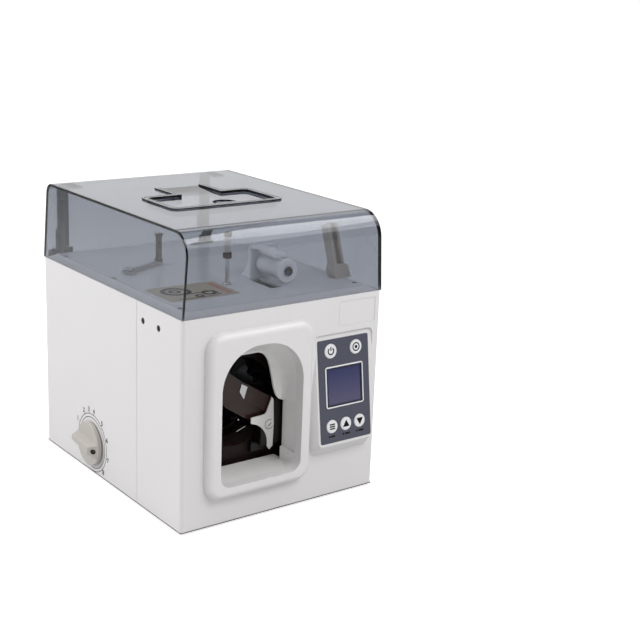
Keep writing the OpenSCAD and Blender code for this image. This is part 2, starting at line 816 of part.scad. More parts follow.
module lid() {
    floor_z = lid_z - tray_d;
    color(smoke) place() difference() {
        union() {
            difference() {
                lid_solid(0);
                lid_solid(lid_wall);
            }
            // rib under the bead
            translate([0, 0, lid_z - lid_wall - rib_d]) linear_extrude(rib_d + 0.5) difference() {
                tray_plan(bead_w - rib_t);
                tray_plan(bead_w);
            }
            // half-moon cup for the thumb
            translate([thumb_x, thumb_y, floor_z - cup_wall - thumb_d]) intersection() {
                cylinder(r = thumb_r + cup_wall, h = thumb_d + cup_wall);
                translate([-2 * thumb_r, -cup_wall, 0]) cube([4 * thumb_r, 2 * thumb_r, 10]);
            }
            // twin bead round the tray
            translate([0, 0, lid_z - 1]) linear_extrude(bead_h + 1) difference() {
                tray_plan(0);
                tray_plan(bead_w);
            }
        }
        tray_hollow(floor_z, lid_z + bead_h + 1);
        translate([thumb_x, thumb_y, floor_z - thumb_d]) intersection() {
            cylinder(r = thumb_r, h = thumb_d + 1);
            translate([-thumb_r, 0, 0]) cube([2 * thumb_r, thumb_r, 10]);
        }
        translate([0, 0, lid_z + 0.3]) linear_extrude(bead_h) difference() {
            tray_plan(bead_w * 0.34);
            tray_plan(bead_w * 0.66);
        }
        for (x = knuckle_x) for (s = [-1, 1]) rod_y(x + s * 4, strap_z + 10, body_d - 6, body_d + 1, 1.5);
    }
}

knuckle_x = [22.9, body_w - 33.5];
strap_z = 219;
strap_top = lid_z - lid_rb - 1.5;
strap_w = 13;
hinge_y = body_d + hinge_back;
hinge_z = seam_z + 1;
pin_r = 1.5;
knuckle_len = 8;

// Dark straps that stiffen the lid at its two hinges, with a rib up the middle.
module hinge_straps() {
    back = body_d - lid_wall;
    color([0.22, 0.24, 0.28]) place() for (x = knuckle_x) {
        translate([x - strap_w / 2, back - 2, strap_z]) cube([strap_w, 2, strap_top - strap_z - 6]);
        translate([x - strap_w / 2, back - lid_rb - 22, lid_z - lid_wall - 2]) cube([strap_w, 24, 2]);
        translate([x - 1.5, back - 5, strap_z]) cube([3, 3.5, strap_top - strap_z - 6]);
        translate([x - strap_w / 2, 0, 0]) rotate([90, 0, 90]) linear_extrude(strap_w) intersection() {
            translate([back - lid_rb + lid_wall, lid_z - lid_rb]) difference() {
                circle(lid_rb - lid_wall);
                circle(lid_rb - lid_wall - 2);
            }
            translate([back - lid_rb + lid_wall, lid_z - lid_rb]) square(30);
        }
        translate([x - strap_w / 2, back - 2, strap_top - 8])
            cube([strap_w, 2, lid_z - lid_rb - strap_top + 8.01]);
    }
}

// Hinge leaves screwed to the lid's back, one outer knuckle each side of the housing's own.
module lid_knuckles() {
    color([0.24, 0.26, 0.30]) place() for (x = knuckle_x) {
        difference() {
            union() {
                translate([x - strap_w / 2, body_d, seam_z + 4]) cube([strap_w, 2, 24]);
                for (s = [-1, 1]) {
                    k = x + s * (knuckle_len + 0.3) - knuckle_len / 2;
                    translate([k, body_d, hinge_z]) cube([knuckle_len, 2, 6]);
                    rod_x(hinge_y, hinge_z, k, k + knuckle_len, hinge_r);
                    translate([k, body_d + 0.5, hinge_z]) cube([knuckle_len, hinge_back, hinge_r]);
                }
            }
            rod_x(hinge_y, hinge_z, x - 20, x + 20, pin_r + run_fit);
            translate([x - 40, body_d - 5, seam_z - 20]) cube([80, 5, 80]);
        }
        for (s = [-1, 1]) rod_y(x + s * 4, strap_z + 10, body_d - lid_wall, body_d + 3, 1.4);
    }
}

module hinge_brackets() {
    color([0.24, 0.26, 0.30]) place() for (x = knuckle_x) difference() {
        union() {
            translate([x - strap_w / 2 - 4, body_d, seam_z - 26]) cube([strap_w + 8, 2, 20]);
            translate([x - knuckle_len / 2, body_d, seam_z - 8]) cube([knuckle_len, 2, 8]);
            translate([x - knuckle_len / 2, body_d, hinge_z - hinge_r])
                cube([knuckle_len, hinge_back, hinge_r]);
            rod_x(hinge_y, hinge_z, x - knuckle_len / 2, x + knuckle_len / 2, hinge_r);
        }
        rod_x(hinge_y, hinge_z, x - 20, x + 20, pin_r + 0.01);
    }
}

module hinge_pins() {
    color(steel) place() for (x = knuckle_x) rod_x(hinge_y, hinge_z, x - 1.5 * knuckle_len - 0.3,
        x + 1.5 * knuckle_len + 0.3, pin_r);
}

// ---- Control panel ----

module panel_overlay() {
    color(slate) place() difference() {
        on_panel() linear_extrude(overlay_t) centred_round_rect(overlay_w, overlay_h, 2);
        panel_holes(-1, 3, key_gap);
    }
}

module display_frame() {
    color([0.92, 0.92, 0.93]) place() on_panel()
        translate([0, lcd_up, overlay_t]) linear_extrude(0.6) difference() {
            centred_round_rect(lcd_w, lcd_h, 2.5);
            centred_round_rect(lcd_w - 4.4, lcd_h - 4.4, 1.2);
        }
}

module display_window() {
    color([0.20, 0.21, 0.42]) place() on_panel() translate([0, lcd_up, -0.6]) linear_extrude(1)
        centred_round_rect(lcd_w - 3.4, lcd_h - 3.4, 0.8);
}

module display_module() {
    color([0.25, 0.27, 0.40]) place() on_panel() {
        translate([-lcd_w / 2 + 2, lcd_up - lcd_h / 2 + 2, -3.6]) cube([lcd_w - 4, lcd_h - 4, 3]);
        translate([-lcd_w / 2 + 4, lcd_up - lcd_h / 2 + 4, -board_back])
            cube([lcd_w - 8, lcd_h - 8, board_back - 3.5]);
    }
}

board_back = 9;
board_t = 1.6;
board_screws = [panel_w / 2 - 6.5, panel_h / 2 - 6];

module control_board() {
    color([0.10, 0.35, 0.18]) place() on_panel() {
        difference() {
            translate([-panel_w / 2 + 3, -panel_h / 2 + 3, -board_back - board_t])
                cube([panel_w - 6, panel_h - 6, board_t]);
            for (x = [-1, 1], y = [-1, 1])
                translate([x * board_screws[0], y * board_screws[1], -board_back - 3])
                    cylinder(r = 1.6, h = 5);
        }
        translate([-20, -25, -board_back - board_t - 4]) cube([24, 16, 4]);
        translate([8, -30, -board_back - board_t - 3]) cube([12, 12, 3]);
    }
}

flange_t = 1;
switch_top = board_back - panel_wall - flange_t - key_travel - 0.15;

module key_switches() {
    color(near_black) place() on_panel() {
        for (p = concat(upper_keys(), lower_keys())) translate([p[0], p[1], -board_back]) {
            translate([-3, -3, 0]) cube([6, 6, switch_top - 1]);
            cylinder(r = 1.7, h = switch_top);
        }
        // stand-offs that carry the board on the panel
        for (x = [-1, 1], y = [-1, 1]) translate([x * board_screws[0], y * board_screws[1], -board_back])
            cylinder(r = 2.6, h = board_back - panel_wall);
    }
}

module key(p, dia) {
    color([0.93, 0.93, 0.93]) place() on_panel() translate(p) {
        translate([0, 0, -panel_wall]) rotate_extrude() {
            h = panel_wall + overlay_t + key_proud;
            square([dia / 2, h - 0.4]);
            square([dia / 2 - 0.6, h]);
        }
        translate([0, 0, -panel_wall - flange_t - 0.02]) cylinder(r = dia / 2 + 1.2, h = flange_t);
    }
}

module upper_left_key() { key(upper_keys()[0], key_dia); }
module upper_right_key() { key(upper_keys()[1], key_dia); }
module set_key() { key(lower_keys()[0], small_key_dia); }
module up_key() { key(lower_keys()[1], small_key_dia); }
module down_key() { key(lower_keys()[2], small_key_dia); }

// ---- Knob ----

// Skirt with a tapering grip bar whose nose slopes down to a pointer dimple.
module tension_knob() {
    top = knob_reach - knob_gap;
    nose = 15;
    slope = 48;
    foot = grip_w / 2 + 2;
    head = grip_w / 2 - 1.5;
    color([0.80, 0.78, 0.75]) place() translate([-knob_gap, knob_y, knob_z])
        rotate([0, -90, 0]) rotate([0, 0, 90]) difference() {
            union() {
                rotate_extrude() polygon([[0, 0], [knob_r - 2, 0], [knob_r - 2, 1.2], [knob_r, 1.8],
                    [knob_r, skirt_t - 1], [knob_r - 1, skirt_t], [0, skirt_t]]);
                rotate([0, 0, grip_turn]) intersection() {
                    translate([-knob_r, 0, 0]) rotate([90, 0, 90]) linear_extrude(2 * knob_r)
                        polygon([[-foot, 1], [foot, 1], [head, top], [-head, top]]);
                    cylinder(r1 = knob_r, r2 = knob_r - 4, h = top);
                    translate([0, grip_w, 0]) rotate([90, 0, 0]) linear_extrude(2 * grip_w)
                        polygon([[-knob_r, 0], [knob_r, 0], [knob_r, top - 5], [knob_r - 7, top],
                            [-nose, top], [-nose - (top - skirt_t) / tan(slope), skirt_t], [-knob_r, 1]]);
                }
            }
            rotate([0, 0, grip_turn]) translate([-nose - 4.2, 0, top - 4.2]) rotate([0, -slope, 0])
                translate([0, 0, -4]) cylinder(r = 2.3, h = 9);
            translate([0, 0, -1]) cylinder(r = pot_shaft_r, h = skirt_t + 5);
        }
}

module knob_shaft() {
    color(steel) place() rod_x(knob_y, knob_z, -knob_gap - skirt_t - 4, wall + 9, pot_shaft_r);
}

module tension_dial_pot() {
    color([0.30, 0.32, 0.34]) place() difference() {
        union() {
            rod_x(knob_y, knob_z, wall, wall + 11, 12);
            translate([wall + 9, knob_y - 6, knob_z - 20]) cube([1.6, 12, 12]);
        }
        rod_x(knob_y, knob_z, wall - 1, wall + 9.3, pot_shaft_r + run_fit);
    }
}

// ---- Mechanism ----

arm_pivot = [54, 143];
arm_pivot_r = 3;
head_z = [58, 108];
rod_z = [70, 96];
plate_x = [24, body_w - 14];
spacers = [for (x = [plate_x[0] + 10, plate_x[1] - 10], z = [14, 178]) [x, z]];
cut_x = [arch_x + 20, 152];

module mechanism_plate(y, front) {
    difference() {
        upright(y, plate_t) difference() {
            translate([plate_x[0], base_z]) round_rect(plate_x[1] - plate_x[0], plate_z - base_z, 3);
            translate([arch_x, arch_z]) circle(arch_r);
            translate([cut_x[0], head_z[0] - 3]) square([cut_x[1] - cut_x[0], head_z[1] - head_z[0] + 6]);
            // room for the clamp arm's spring
            translate([plate_x[0] - 1, arm_pivot[1] - 23]) square([20, 40]);
        }
        rod_y(feed_x, feed_z, y - 1, y + plate_t + 1, shaft_r + run_fit);
        rod_y(pinch_x, feed_z, y - 1, y + plate_t + 1, shaft_r + run_fit);
        rod_y(cam_x, cam_z, y - 1, y + plate_t + 1, cam_shaft_r + run_fit);
        for (p = spacers) rod_y(p[0], p[1], y - 1, y + plate_t + 1, 2);
        if (front) rod_y(arm_pivot[0], arm_pivot[1], y - 1, y + plate_t + 1, arm_pivot_r + 0.02);
    }
    // foot flanges on the base plate
    foot = [30, 12, 1.6];
    for (x = [plate_x[0] + 4, plate_x[1] - 4 - foot[0]]) translate([x, y, base_z]) cube(foot);
}

module front_plate() { color([0.20, 0.20, 0.21]) place() mechanism_plate(plate_y, true); }
module rear_plate() { color([0.20, 0.20, 0.21]) place() mechanism_plate(rear_plate_y, false); }

// Spacers that hold the two plates apart, and the stud that the clamp arm turns on.
module plate_studs() {
    color(steel) place() for (p = spacers) {
        rod_y(p[0], p[1], plate_y + plate_t, rear_plate_y, 4);
        rod_y(p[0], p[1], plate_y - 1, rear_plate_y + plate_t + 1, 1.98);
        rod_y(p[0], p[1], plate_y - 2.5, plate_y, 3.6);
        rod_y(p[0], p[1], rear_plate_y + plate_t, rear_plate_y + plate_t + 2.5, 3.6);
    }
    color(steel) place() {
        rod_y(arm_pivot[0], arm_pivot[1], 32.6, plate_y + plate_t, arm_pivot_r);
        rod_y(arm_pivot[0], arm_pivot[1], 31, 32.6, arm_pivot_r + 2.4);
        rod_y(arm_pivot[0], arm_pivot[1], 42.3, plate_y, arm_pivot_r + 1.5);
    }
}

// Ring-shaped guide that carries the tape round the notes, open towards the press jaw.
module tape_arch() {
    y1 = plate_y + plate_t + 0.2;
    w = bay_d - 0.4;
    lip = (w - tape_w) / 2;
    color(dark_smoke) place() {
        translate([arch_x, y1 + w, arch_z]) rotate([90, 0, 0]) rotate([0, 0, arch_gap])
            rotate_extrude(angle = 360 - 2 * arch_gap, $fn = 120) difference() {
                translate([arch_r, 0]) square([arch_t, w]);
                translate([arch_r - 1, lip]) square([4, w - 2 * lip]);
            }
        // ears that bolt the guide between the plates
        for (a = [130, 225])
            translate([arch_x + (arch_r + arch_t) * cos(a), y1, arch_z + (arch_r + arch_t) * sin(a)])
                rotate([0, 90 - a, 0]) translate([-7, 0, -1]) cube([14, w, 4]);
    }
}

// Two flat tubes: from the deck slot to the feed rollers, and on to the press jaw.
module tape_chutes() {
    y1 = plate_y + plate_t;
    tube_w = 7;
    chute_top = lip_z - 1;
    spans = [[feed_z + 15.5, chute_top], [head_z[1] + 5, feed_z - 16]];
    color(near_black) place() for (z = spans) difference() {
        union() {
            translate([tape_x - tube_w / 2, y1, z[0]]) cube([tube_w, bay_d, z[1] - z[0]]);
            translate([tape_x - tube_w / 2 - 2, y1, z[0] + 2]) cube([tube_w + 4, bay_d, 3]);
        }
        translate([tape_x - 1.5, y1 + (bay_d - tape_w) / 2, z[0] - 1]) cube([3, tape_w, z[1] - z[0] + 2]);
        if (z[1] == chute_top) hull() {
            translate([tape_x - 1.5, y1 + 2, z[1] - 8]) cube([3, bay_d - 4, 1]);
            translate([tape_x - 3, y1 + 1, z[1]]) cube([6, bay_d - 2, 1]);
        }
    }
}

roller_gap = 1.5;
roller_y1 = plate_y + plate_t + roller_gap;
roller_y2 = rear_plate_y - roller_gap;

module feed_roller() {
    color([0.15, 0.15, 0.15]) place() {
        rod_y(feed_x, feed_z, plate_y - 3, rear_plate_y + plate_t + 9, shaft_r);
        difference() {
            rod_y(feed_x, feed_z, roller_y1, roller_y2, feed_r);
            for (y = [roller_y1 + 10, roller_y1 + 24]) translate([feed_x, y, feed_z]) rotate([90, 0, 0])
                rotate_extrude() translate([feed_r - 0.6, 0]) square([2, 2]);
        }
    }
}

module pinch_roller() {
    color([0.80, 0.80, 0.80]) place() {
        rod_y(pinch_x, feed_z, plate_y - 3, rear_plate_y + plate_t + 3, shaft_r);
        rod_y(pinch_x, feed_z, roller_y1, roller_y2, pinch_r);
    }
}

function involute(r, t) = [r * (cos(t) + t * PI / 180 * sin(t)), r * (sin(t) - t * PI / 180 * cos(t))];
function turned(p, a) = [p[0] * cos(a) - p[1] * sin(a), p[0] * sin(a) + p[1] * cos(a)];

// Spur gear with involute flanks at 20 degrees, thinned for backlash.
module spur_gear(teeth, m, backlash = 0.18) {
    pitch_r = teeth * m / 2;
    base_r = pitch_r * cos(20);
    tip_r = pitch_r + 0.9 * m;
    root_r = pitch_r - 1.2 * m;
    start_r = max(base_r, root_r);
    steps = 5;
    roll = [for (i = [0 : steps]) let (r = start_r + (tip_r - start_r) * i / steps)
        sqrt(max(0, pow(r / base_r, 2) - 1)) * 180 / PI];
    pitch_roll = sqrt(pow(pitch_r / base_r, 2) - 1) * 180 / PI;
    pitch_turn = pitch_roll - atan(pitch_roll * PI / 180);
    half = 90 / teeth - backlash / pitch_r * 90 / PI + pitch_turn;
    flank = [for (t = roll) turned(involute(base_r, t), -half)];
    back = [for (i = [steps : -1 : 0]) [flank[i][0], -flank[i][1]]];
    foot = [root_r * cos(half), -root_r * sin(half)];
    tooth = concat([foot], flank, back, [[foot[0], -foot[1]]]);
    polygon([for (k = [0 : teeth - 1]) for (p = tooth) turned(p, k * 360 / teeth)]);
}

gear_y = rear_plate_y + plate_t + 2;
gear_w = 6;
motor_x = feed_x + gear_m * (gear_teeth + pinion_teeth) / 2 + 0.1;

module feed_gear() {
    color([0.88, 0.86, 0.80]) place() translate([feed_x, gear_y + gear_w, feed_z])
        rotate([90, 0, 0]) difference() {
            linear_extrude(gear_w) spur_gear(gear_teeth, gear_m);
            translate([0, 0, -1]) cylinder(r = shaft_r, h = gear_w + 2);
            for (a = [0 : 60 : 300])
                rotate([0, 0, a]) translate([9.5, 0, -1]) cylinder(r = 2.8, h = gear_w + 2);
        }
}

motor_y = gear_y + gear_w + 2;
motor_shaft_r = 2;

module motor_pinion() {
    color([0.75, 0.62, 0.35]) place() {
        translate([motor_x, gear_y + gear_w, feed_z]) rotate([90, 0, 0])
            linear_extrude(gear_w) rotate([0, 0, 180 + 180 / pinion_teeth]) spur_gear(pinion_teeth, gear_m);
        rod_y(motor_x, feed_z, gear_y + 0.5, motor_y + 8, motor_shaft_r);
    }
}

module feed_motor() {
    color([0.60, 0.61, 0.63]) place() difference() {
        union() {
            rod_y(motor_x, feed_z, motor_y, motor_y + 46, 17);
            rod_y(motor_x, feed_z, motor_y + 46, motor_y + 49, 6);
            // mounting plate on posts that stand on the rear mechanism plate
            upright(motor_y, 2) translate([motor_x - 8, feed_z - 19]) square([34, 38]);
            for (z = [feed_z - 15, feed_z + 15])
                rod_y(motor_x + 20, z, rear_plate_y + plate_t, motor_y + 1, 3);
        }
        rod_y(motor_x, feed_z, motor_y - 1, motor_y + 8.3, motor_shaft_r + run_fit);
    }
}

head_x = 150;
head_t = 9;
jaw_x = 131;
jaw_t = 14;

module head_block() {
    y1 = plate_y + plate_t;
    color(near_black) place() difference() {
        translate([head_x, y1, head_z[0]]) cube([head_t, bay_d, head_z[1] - head_z[0]]);
        for (z = rod_z) rod_x(tape_y, z, head_x - 1, head_x + head_t + 1, rod_r + 0.02);
        translate([head_x - 1, tape_y - 6, cam_z - 6]) cube([head_t + 2, 12, 12]);
    }
}

module jaw_rods() {
    color(steel) place() for (z = rod_z) {
        rod_x(tape_y, z, jaw_x - 3, head_x + head_t, rod_r);
        rod_x(tape_y, z, head_x + head_t, head_x + head_t + 2, rod_r + 1.5);
    }
}

tail_w = 8;
tail_x = jaw_x + jaw_t - 1;

// Jaw that presses the tape against the notes; its tail rides on the cam.
module press_jaw() {
    color([0.15, 0.12, 0.11]) place() difference() {
        union() {
            translate([jaw_x, plate_y + plate_t + 3, head_z[0] + 4])
                cube([jaw_t, bay_d - 6, head_z[1] - head_z[0] - 8]);
            translate([tail_x, tape_y - tail_w / 2, cam_z - tail_w / 2])
                cube([cam_x - cam_r - 0.3 - tail_x, tail_w, tail_w]);
        }
        for (z = rod_z) rod_x(tape_y, z, jaw_x - 11, jaw_x + jaw_t + 5, rod_r + run_fit);
        for (z = [head_z[0] + 8 : 6 : head_z[1] - 8])
            translate([jaw_x - 0.5, plate_y + plate_t + 2, z]) cube([1, bay_d, 1.2]);
    }
}

module cutter_blade() {
    y1 = plate_y + plate_t + 5;
    z1 = head_z[0] + 4;
    color([0.82, 0.83, 0.85]) place() upright(y1, bay_d - 10)
        polygon([[jaw_x - 2, z1], [jaw_x + 0.5, z1 - 1.4], [jaw_x + jaw_t, z1 - 1.4], [jaw_x + jaw_t, z1]]);
}

function cam_radius(a) = cam_r + cam_lift * (a <= 180 ? a : 360 - a) / 180;

module cam_shaft() {
    color(steel) place() {
        rod_y(cam_x, cam_z, plate_y - 2, rear_plate_y + plate_t + 8, cam_shaft_r);
        upright(tape_y - 5, 10) translate([cam_x, cam_z])
            polygon([for (a = [0 : 5 : 355]) [-cam_radius(a) * cos(a), -cam_radius(a) * sin(a)]]);
        rod_y(cam_x, cam_z, tape_y + 5, tape_y + 10, cam_shaft_r + 3);
    }
}

module cam_motor() {
    y = rear_plate_y + plate_t;
    color([0.35, 0.36, 0.38]) place() difference() {
        union() {
            translate([cam_x - 20, y, cam_z - 24]) cube([40, 26, 44]);
            rod_y(cam_x, cam_z - 4, y + 26, y + 68, 17);
        }
        rod_y(cam_x, cam_z, y - 1, y + 8.5, cam_shaft_r + run_fit);
    }
}

// ---- What shows through the mouth ----

block_y = 31;
block_w = 27;
plate_screw = [118.7, 79.6];

module front_block() {
    color(near_black) place() {
        difference() {
            union() {
                translate([110, block_y, head_z[0]]) cube([block_w, plate_y - block_y, block_w]);
                translate([125.5, block_y, head_z[0] + block_w - 1]) cube([11, plate_y - block_y, 17]);
                // small cap that slopes down to the right
                upright(block_y, 6) polygon([[126.5, 100], [126.5, 104.5], [135.5, 101], [135.5, 100]]);
                // foot that bolts the block to the front plate
                translate([104, plate_y - 6, head_z[0] - 8]) cube([52, 6, 9]);
            }
            rod_y(plate_screw[0], plate_screw[1], block_y - 1, block_y + 8, 1.5);
        }
    }
}

// Bright plate with hollowed sides, screwed to the front of the block.
module retaining_plate() {
    t = 1.5;
    tips = [[121.3, 107.8], [97, 87.5], [119.8, 52.5]];
    tip_w = 5.4;
    bend = [111.6, 95];
    bend_r = 4.2;
    color([0.85, 0.85, 0.86]) place() {
        upright(block_y - t, t) difference() {
            polygon([tips[0], [123.4, 105], [124.4, 80], [123.7, 56], tips[2],
                tips[1] - [0, tip_w / 2], tips[1] + [0, tip_w / 2]]);
            polygon(concat([tips[1] + [-9, tip_w / 2], tips[1] + [0, tip_w / 2]],
                [for (a = [-85 : 12 : -25]) bend + bend_r * [cos(a), sin(a)]],
                [tips[0], tips[0] + [0, 9], tips[0] + [-40, 9]]));
            translate([93, 60]) circle(24);
        }
        rod_y(plate_screw[0], plate_screw[1], block_y - t - 1, block_y - t, 3.8);
        rod_y(plate_screw[0], plate_screw[1], block_y - t, block_y + 7, 1.48);
    }
}

// Dark pressing arm that leans across the mouth.
module clamp_arm() {
    y1 = 33;
    t = 9;
    band_in = 2;
    p = arm_pivot;
    color([0.20, 0.12, 0.09]) place() {
        difference() {
            upright(y1, t) {
                polygon([[p[0] + 3, p[1] + 8.5], [88, 128], [122, 107], [122, 98], [115.6, 89.6], [98, 86],
                    [85, 94.5], [71, 103.5], [67, 108.5], [p[0] - 6, p[1] - 7]]);
                translate(p) circle(9);
            }
            rod_y(p[0], p[1], y1 - 1, y1 + t + 1, arm_pivot_r + run_fit);
            // band along the lower edge, set back
            upright(y1 - 1, band_in + 1) polygon([[58, 117], [89.3, 108.7], [103.5, 101.5],
                [109.6, 97.1], [118, 90.2], [124, 80], [58, 80]]);
        }
        // bright wear piece on the arm's face
        upright(y1 - 1, 1) polygon([[86.7, 126.3], [93.5, 122.3], [89.5, 110.2], [84.5, 118.8]]);
    }
}

// ---- Electrics ----

module transformer() {
    core = [56, 22, 48];
    leg = 10;
    coil_out = 8;
    lug = [8, core[1], 1.5];
    coil = [core[0] - 2 * leg, core[1] + 2 * coil_out, core[2] - 2 * leg];
    color([0.40, 0.40, 0.42]) place() translate([body_w - core[0] - 24, body_d - 94, base_z]) {
        difference() {
            cube(core);
            translate([leg, -1, leg]) cube([coil[0], core[1] + 2, coil[2]]);
        }
        translate([leg, -coil_out, leg]) difference() {
            cube(coil);
            translate([12, -1, 8]) cube([12, coil[1] + 2, 12]);
        }
        translate([leg + 12, 0, leg + 8]) cube([12, core[1], 12]);
        for (x = [-lug[0], core[0]]) translate([x, 0, 0]) cube(lug);
    }
}

module power_board() {
    board = [110, 95];
    lift = 8;
    inset = 6;
    top = lift + board_t;
    color([0.10, 0.34, 0.18]) place() translate([20, body_d - board[1] - 29, base_z]) {
        translate([0, 0, lift]) cube([board[0], board[1], board_t]);
        for (x = [inset, board[0] - inset], y = [inset, board[1] - inset]) translate([x, y, 0])
            cylinder(r = 3, h = lift + 0.01);
        // relay, capacitors and heat sink
        translate([40, 40, top]) cube([30, 20, 16]);
        for (x = [16, 90], y = [30, 75]) translate([x, y, top]) cylinder(r = 8, h = 22);
        translate([76, 8, top]) cube([3, 14, 26]);
    }
}

switch_rock = 9;
switch_axis_y = body_d - 1;

// Rocker of the power switch, tipped to its OFF side.
module power_switch() {
    w = switch_w - 3;
    h = switch_h - 4;
    color(near_black) place() translate([switch_x, switch_axis_y, inlet_z])
        rotate([-switch_rock, 0, 0]) difference() {
            sideways(-w / 2, w) intersection() {
                circle(h / 2);
                polygon([[-4, -3], [0, -h / 2], [3.2, -h / 2], [1.6, 0], [3.2, h / 2], [0, h / 2], [-4, 3]]);
            }
            rod_x(0, 0, -w, w, 1.5 + run_fit);
        }
}

// Power inlet with its three blades and the switch's socket, in one flanged moulding.
module power_inlet() {
    y = body_d;
    full_w = switch_x - inlet_x + (inlet_w + switch_w) / 2;
    left = inlet_x - inlet_w / 2;
    low = inlet_z - inlet_h / 2;
    color([0.13, 0.13, 0.14]) place() {
        difference() {
            union() {
                translate([left + 0.2, y - 24, low + 0.2]) cube([full_w - 0.4, 24, inlet_h - 0.4]);
                upright(y, 1.5) translate([left - 2.5, low - 2]) round_rect(full_w + 5, inlet_h + 4, 2);
            }
            upright(y - 16, 20) translate([left + 2, low + 2]) round_rect(inlet_w - 4, inlet_h - 4, 3);
            translate([switch_x - switch_w / 2 + 1.2, y - 9.5, inlet_z - switch_h / 2 + 1.2])
                cube([switch_w - 2.4, 20, switch_h - 2.4]);
        }
        for (p = [[-7, -2], [0, 2], [7, -2]])
            translate([inlet_x + p[0] - 1, y - 16.5, inlet_z + p[1] - 2]) cube([2, 14, 4]);
        rod_x(switch_axis_y, inlet_z, switch_x - switch_w / 2 + 1, switch_x + switch_w / 2 - 1, 1.5);
    }
}

trigger_y = 125;
trigger_z = 60;
trigger_t = 1.6;

// Bracket on the base plate that stops the notes and carries the start switch.
module trigger_bracket() {
    y = trigger_y;
    t = trigger_t;
    slot_w = 10;
    box_top = trigger_z + 28;
    color(near_black) place() difference() {
        union() {
            upright(y, t) translate([arch_x - 26, base_z]) round_rect(52, 108, 4);
            translate([arch_x - 26, y, base_z]) cube([52, 22, t]);
            translate([arch_x - 12, y + t / 2, trigger_z + 14]) cube([24, 10, 14]);
            for (x = [arch_x - 9.5, arch_x + 6.5]) {
                translate([x, y + t / 2, box_top - 4]) cube([3, 9, 12]);
            }
        }
        translate([arch_x - slot_w / 2, y - 1, trigger_z + 10]) cube([slot_w, 8.5, 24]);
        rod_x(y + 5.5, trigger_z + 32, arch_x - 11, arch_x + 11, 1.2);
    }
}

// Sprung lever that the notes push back to start a cycle.
module note_trigger() {
    y = trigger_y + 5.5;
    z = trigger_z + 32;
    color([0.20, 0.20, 0.21]) place() {
        rod_x(y, z, arch_x - 4.5, arch_x + 4.5, 3);
        sideways(arch_x - 3.5, 7) polygon([[y - 3, z], [y - 9, z - 9], [y - 10, z - 12], [y - 6, z - 14],
            [y + 0.5, z - 2]]);
        rod_x(y, z, arch_x - 9, arch_x + 9, 1.2 - run_fit);
    }
}

base_plate();
feet();
cover_screws();
front_cover();
rear_shell();
mouth_liner();
deck();
panel_overlay();
display_frame();
display_window();
display_module();
control_board();
key_switches();
upper_left_key();
upper_right_key();
set_key();
up_key();
down_key();
lid();
hinge_straps();
lid_knuckles();
hinge_brackets();
hinge_pins();
tension_knob();
knob_shaft();
tension_dial_pot();
roller_bracket();
roller_pin();
guide_roller();
reel_arm();
reel_arm_roller();
reel_arm_pivot();
guide_post();
post_fittings();
lid_support();
front_plate();
rear_plate();
plate_studs();
tape_arch();
tape_chutes();
feed_roller();
feed_gear();
pinch_roller();
feed_motor();
motor_pinion();
head_block();
jaw_rods();
press_jaw();
cutter_blade();
cam_shaft();
cam_motor();
front_block();
retaining_plate();
clamp_arm();
transformer();
power_board();
power_inlet();
power_switch();
note_trigger();
trigger_bracket();
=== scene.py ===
import json
import math
import bpy
from mathutils import Matrix, Vector

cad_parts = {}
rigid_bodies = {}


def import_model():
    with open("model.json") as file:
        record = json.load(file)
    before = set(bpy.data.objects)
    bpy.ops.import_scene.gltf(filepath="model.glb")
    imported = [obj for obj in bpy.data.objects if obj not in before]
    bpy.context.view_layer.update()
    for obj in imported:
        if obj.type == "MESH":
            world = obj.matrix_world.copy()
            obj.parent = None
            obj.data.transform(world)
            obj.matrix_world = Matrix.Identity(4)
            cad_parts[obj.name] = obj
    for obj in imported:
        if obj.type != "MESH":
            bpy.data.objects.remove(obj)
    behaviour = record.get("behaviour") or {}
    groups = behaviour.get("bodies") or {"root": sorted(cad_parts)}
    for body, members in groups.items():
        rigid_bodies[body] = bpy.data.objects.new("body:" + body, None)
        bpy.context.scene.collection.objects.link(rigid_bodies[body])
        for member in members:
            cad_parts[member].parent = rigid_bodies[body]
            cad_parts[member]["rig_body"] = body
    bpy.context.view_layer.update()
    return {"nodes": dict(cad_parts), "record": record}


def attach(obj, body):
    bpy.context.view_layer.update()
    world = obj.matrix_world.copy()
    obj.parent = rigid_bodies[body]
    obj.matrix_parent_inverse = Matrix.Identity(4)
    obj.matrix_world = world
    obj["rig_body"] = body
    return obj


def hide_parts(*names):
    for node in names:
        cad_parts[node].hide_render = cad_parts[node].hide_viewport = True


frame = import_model()
slotOf = {part["node"]: part["material_slot"] for part in frame["record"]["subparts"]}
print("frame loaded")

# millimetres from the housing's front left corner to the part's origin
origin = {"x": 105.0, "y": 140.536}


def at(x, y, z):
    return Vector(((x - origin["x"]) / 1000, (y - origin["y"]) / 1000, z / 1000))


panelFace = {"x": 184.5, "y": -4.8, "z": 115.4, "lean": 7.3}


# u to the right, v up the face, w outwards, in millimetres
def onPanel(u, v, w):
    lean = math.radians(panelFace["lean"])
    y = panelFace["y"] + v * math.sin(lean) - w * math.cos(lean)
    z = panelFace["z"] + v * math.cos(lean) + w * math.sin(lean)
    return at(panelFace["x"] + u, y, z)


# a screen colour, 0 to 255, as the linear values that a shader takes
def tone(red, green, blue):
    return tuple(c / 255 / 12.92 if c < 10.3 else ((c / 255 + 0.055) / 1.055) ** 2.4
                 for c in (red, green, blue))


# merging distance in metres; angles in degrees, under which faces count as flat or as softly rounded, and
# over which an edge is rounded
meshLimits = {"merge": 0.000002, "flat": 0.6, "soft": 35, "edge": 30}


def selectOnly(piece):
    bpy.ops.object.select_all(action="DESELECT")
    piece.select_set(True)
    bpy.context.view_layer.objects.active = piece


def newPiece(name):
    piece = bpy.context.view_layer.objects.active
    piece.name = name
    piece.data.name = name
    return piece


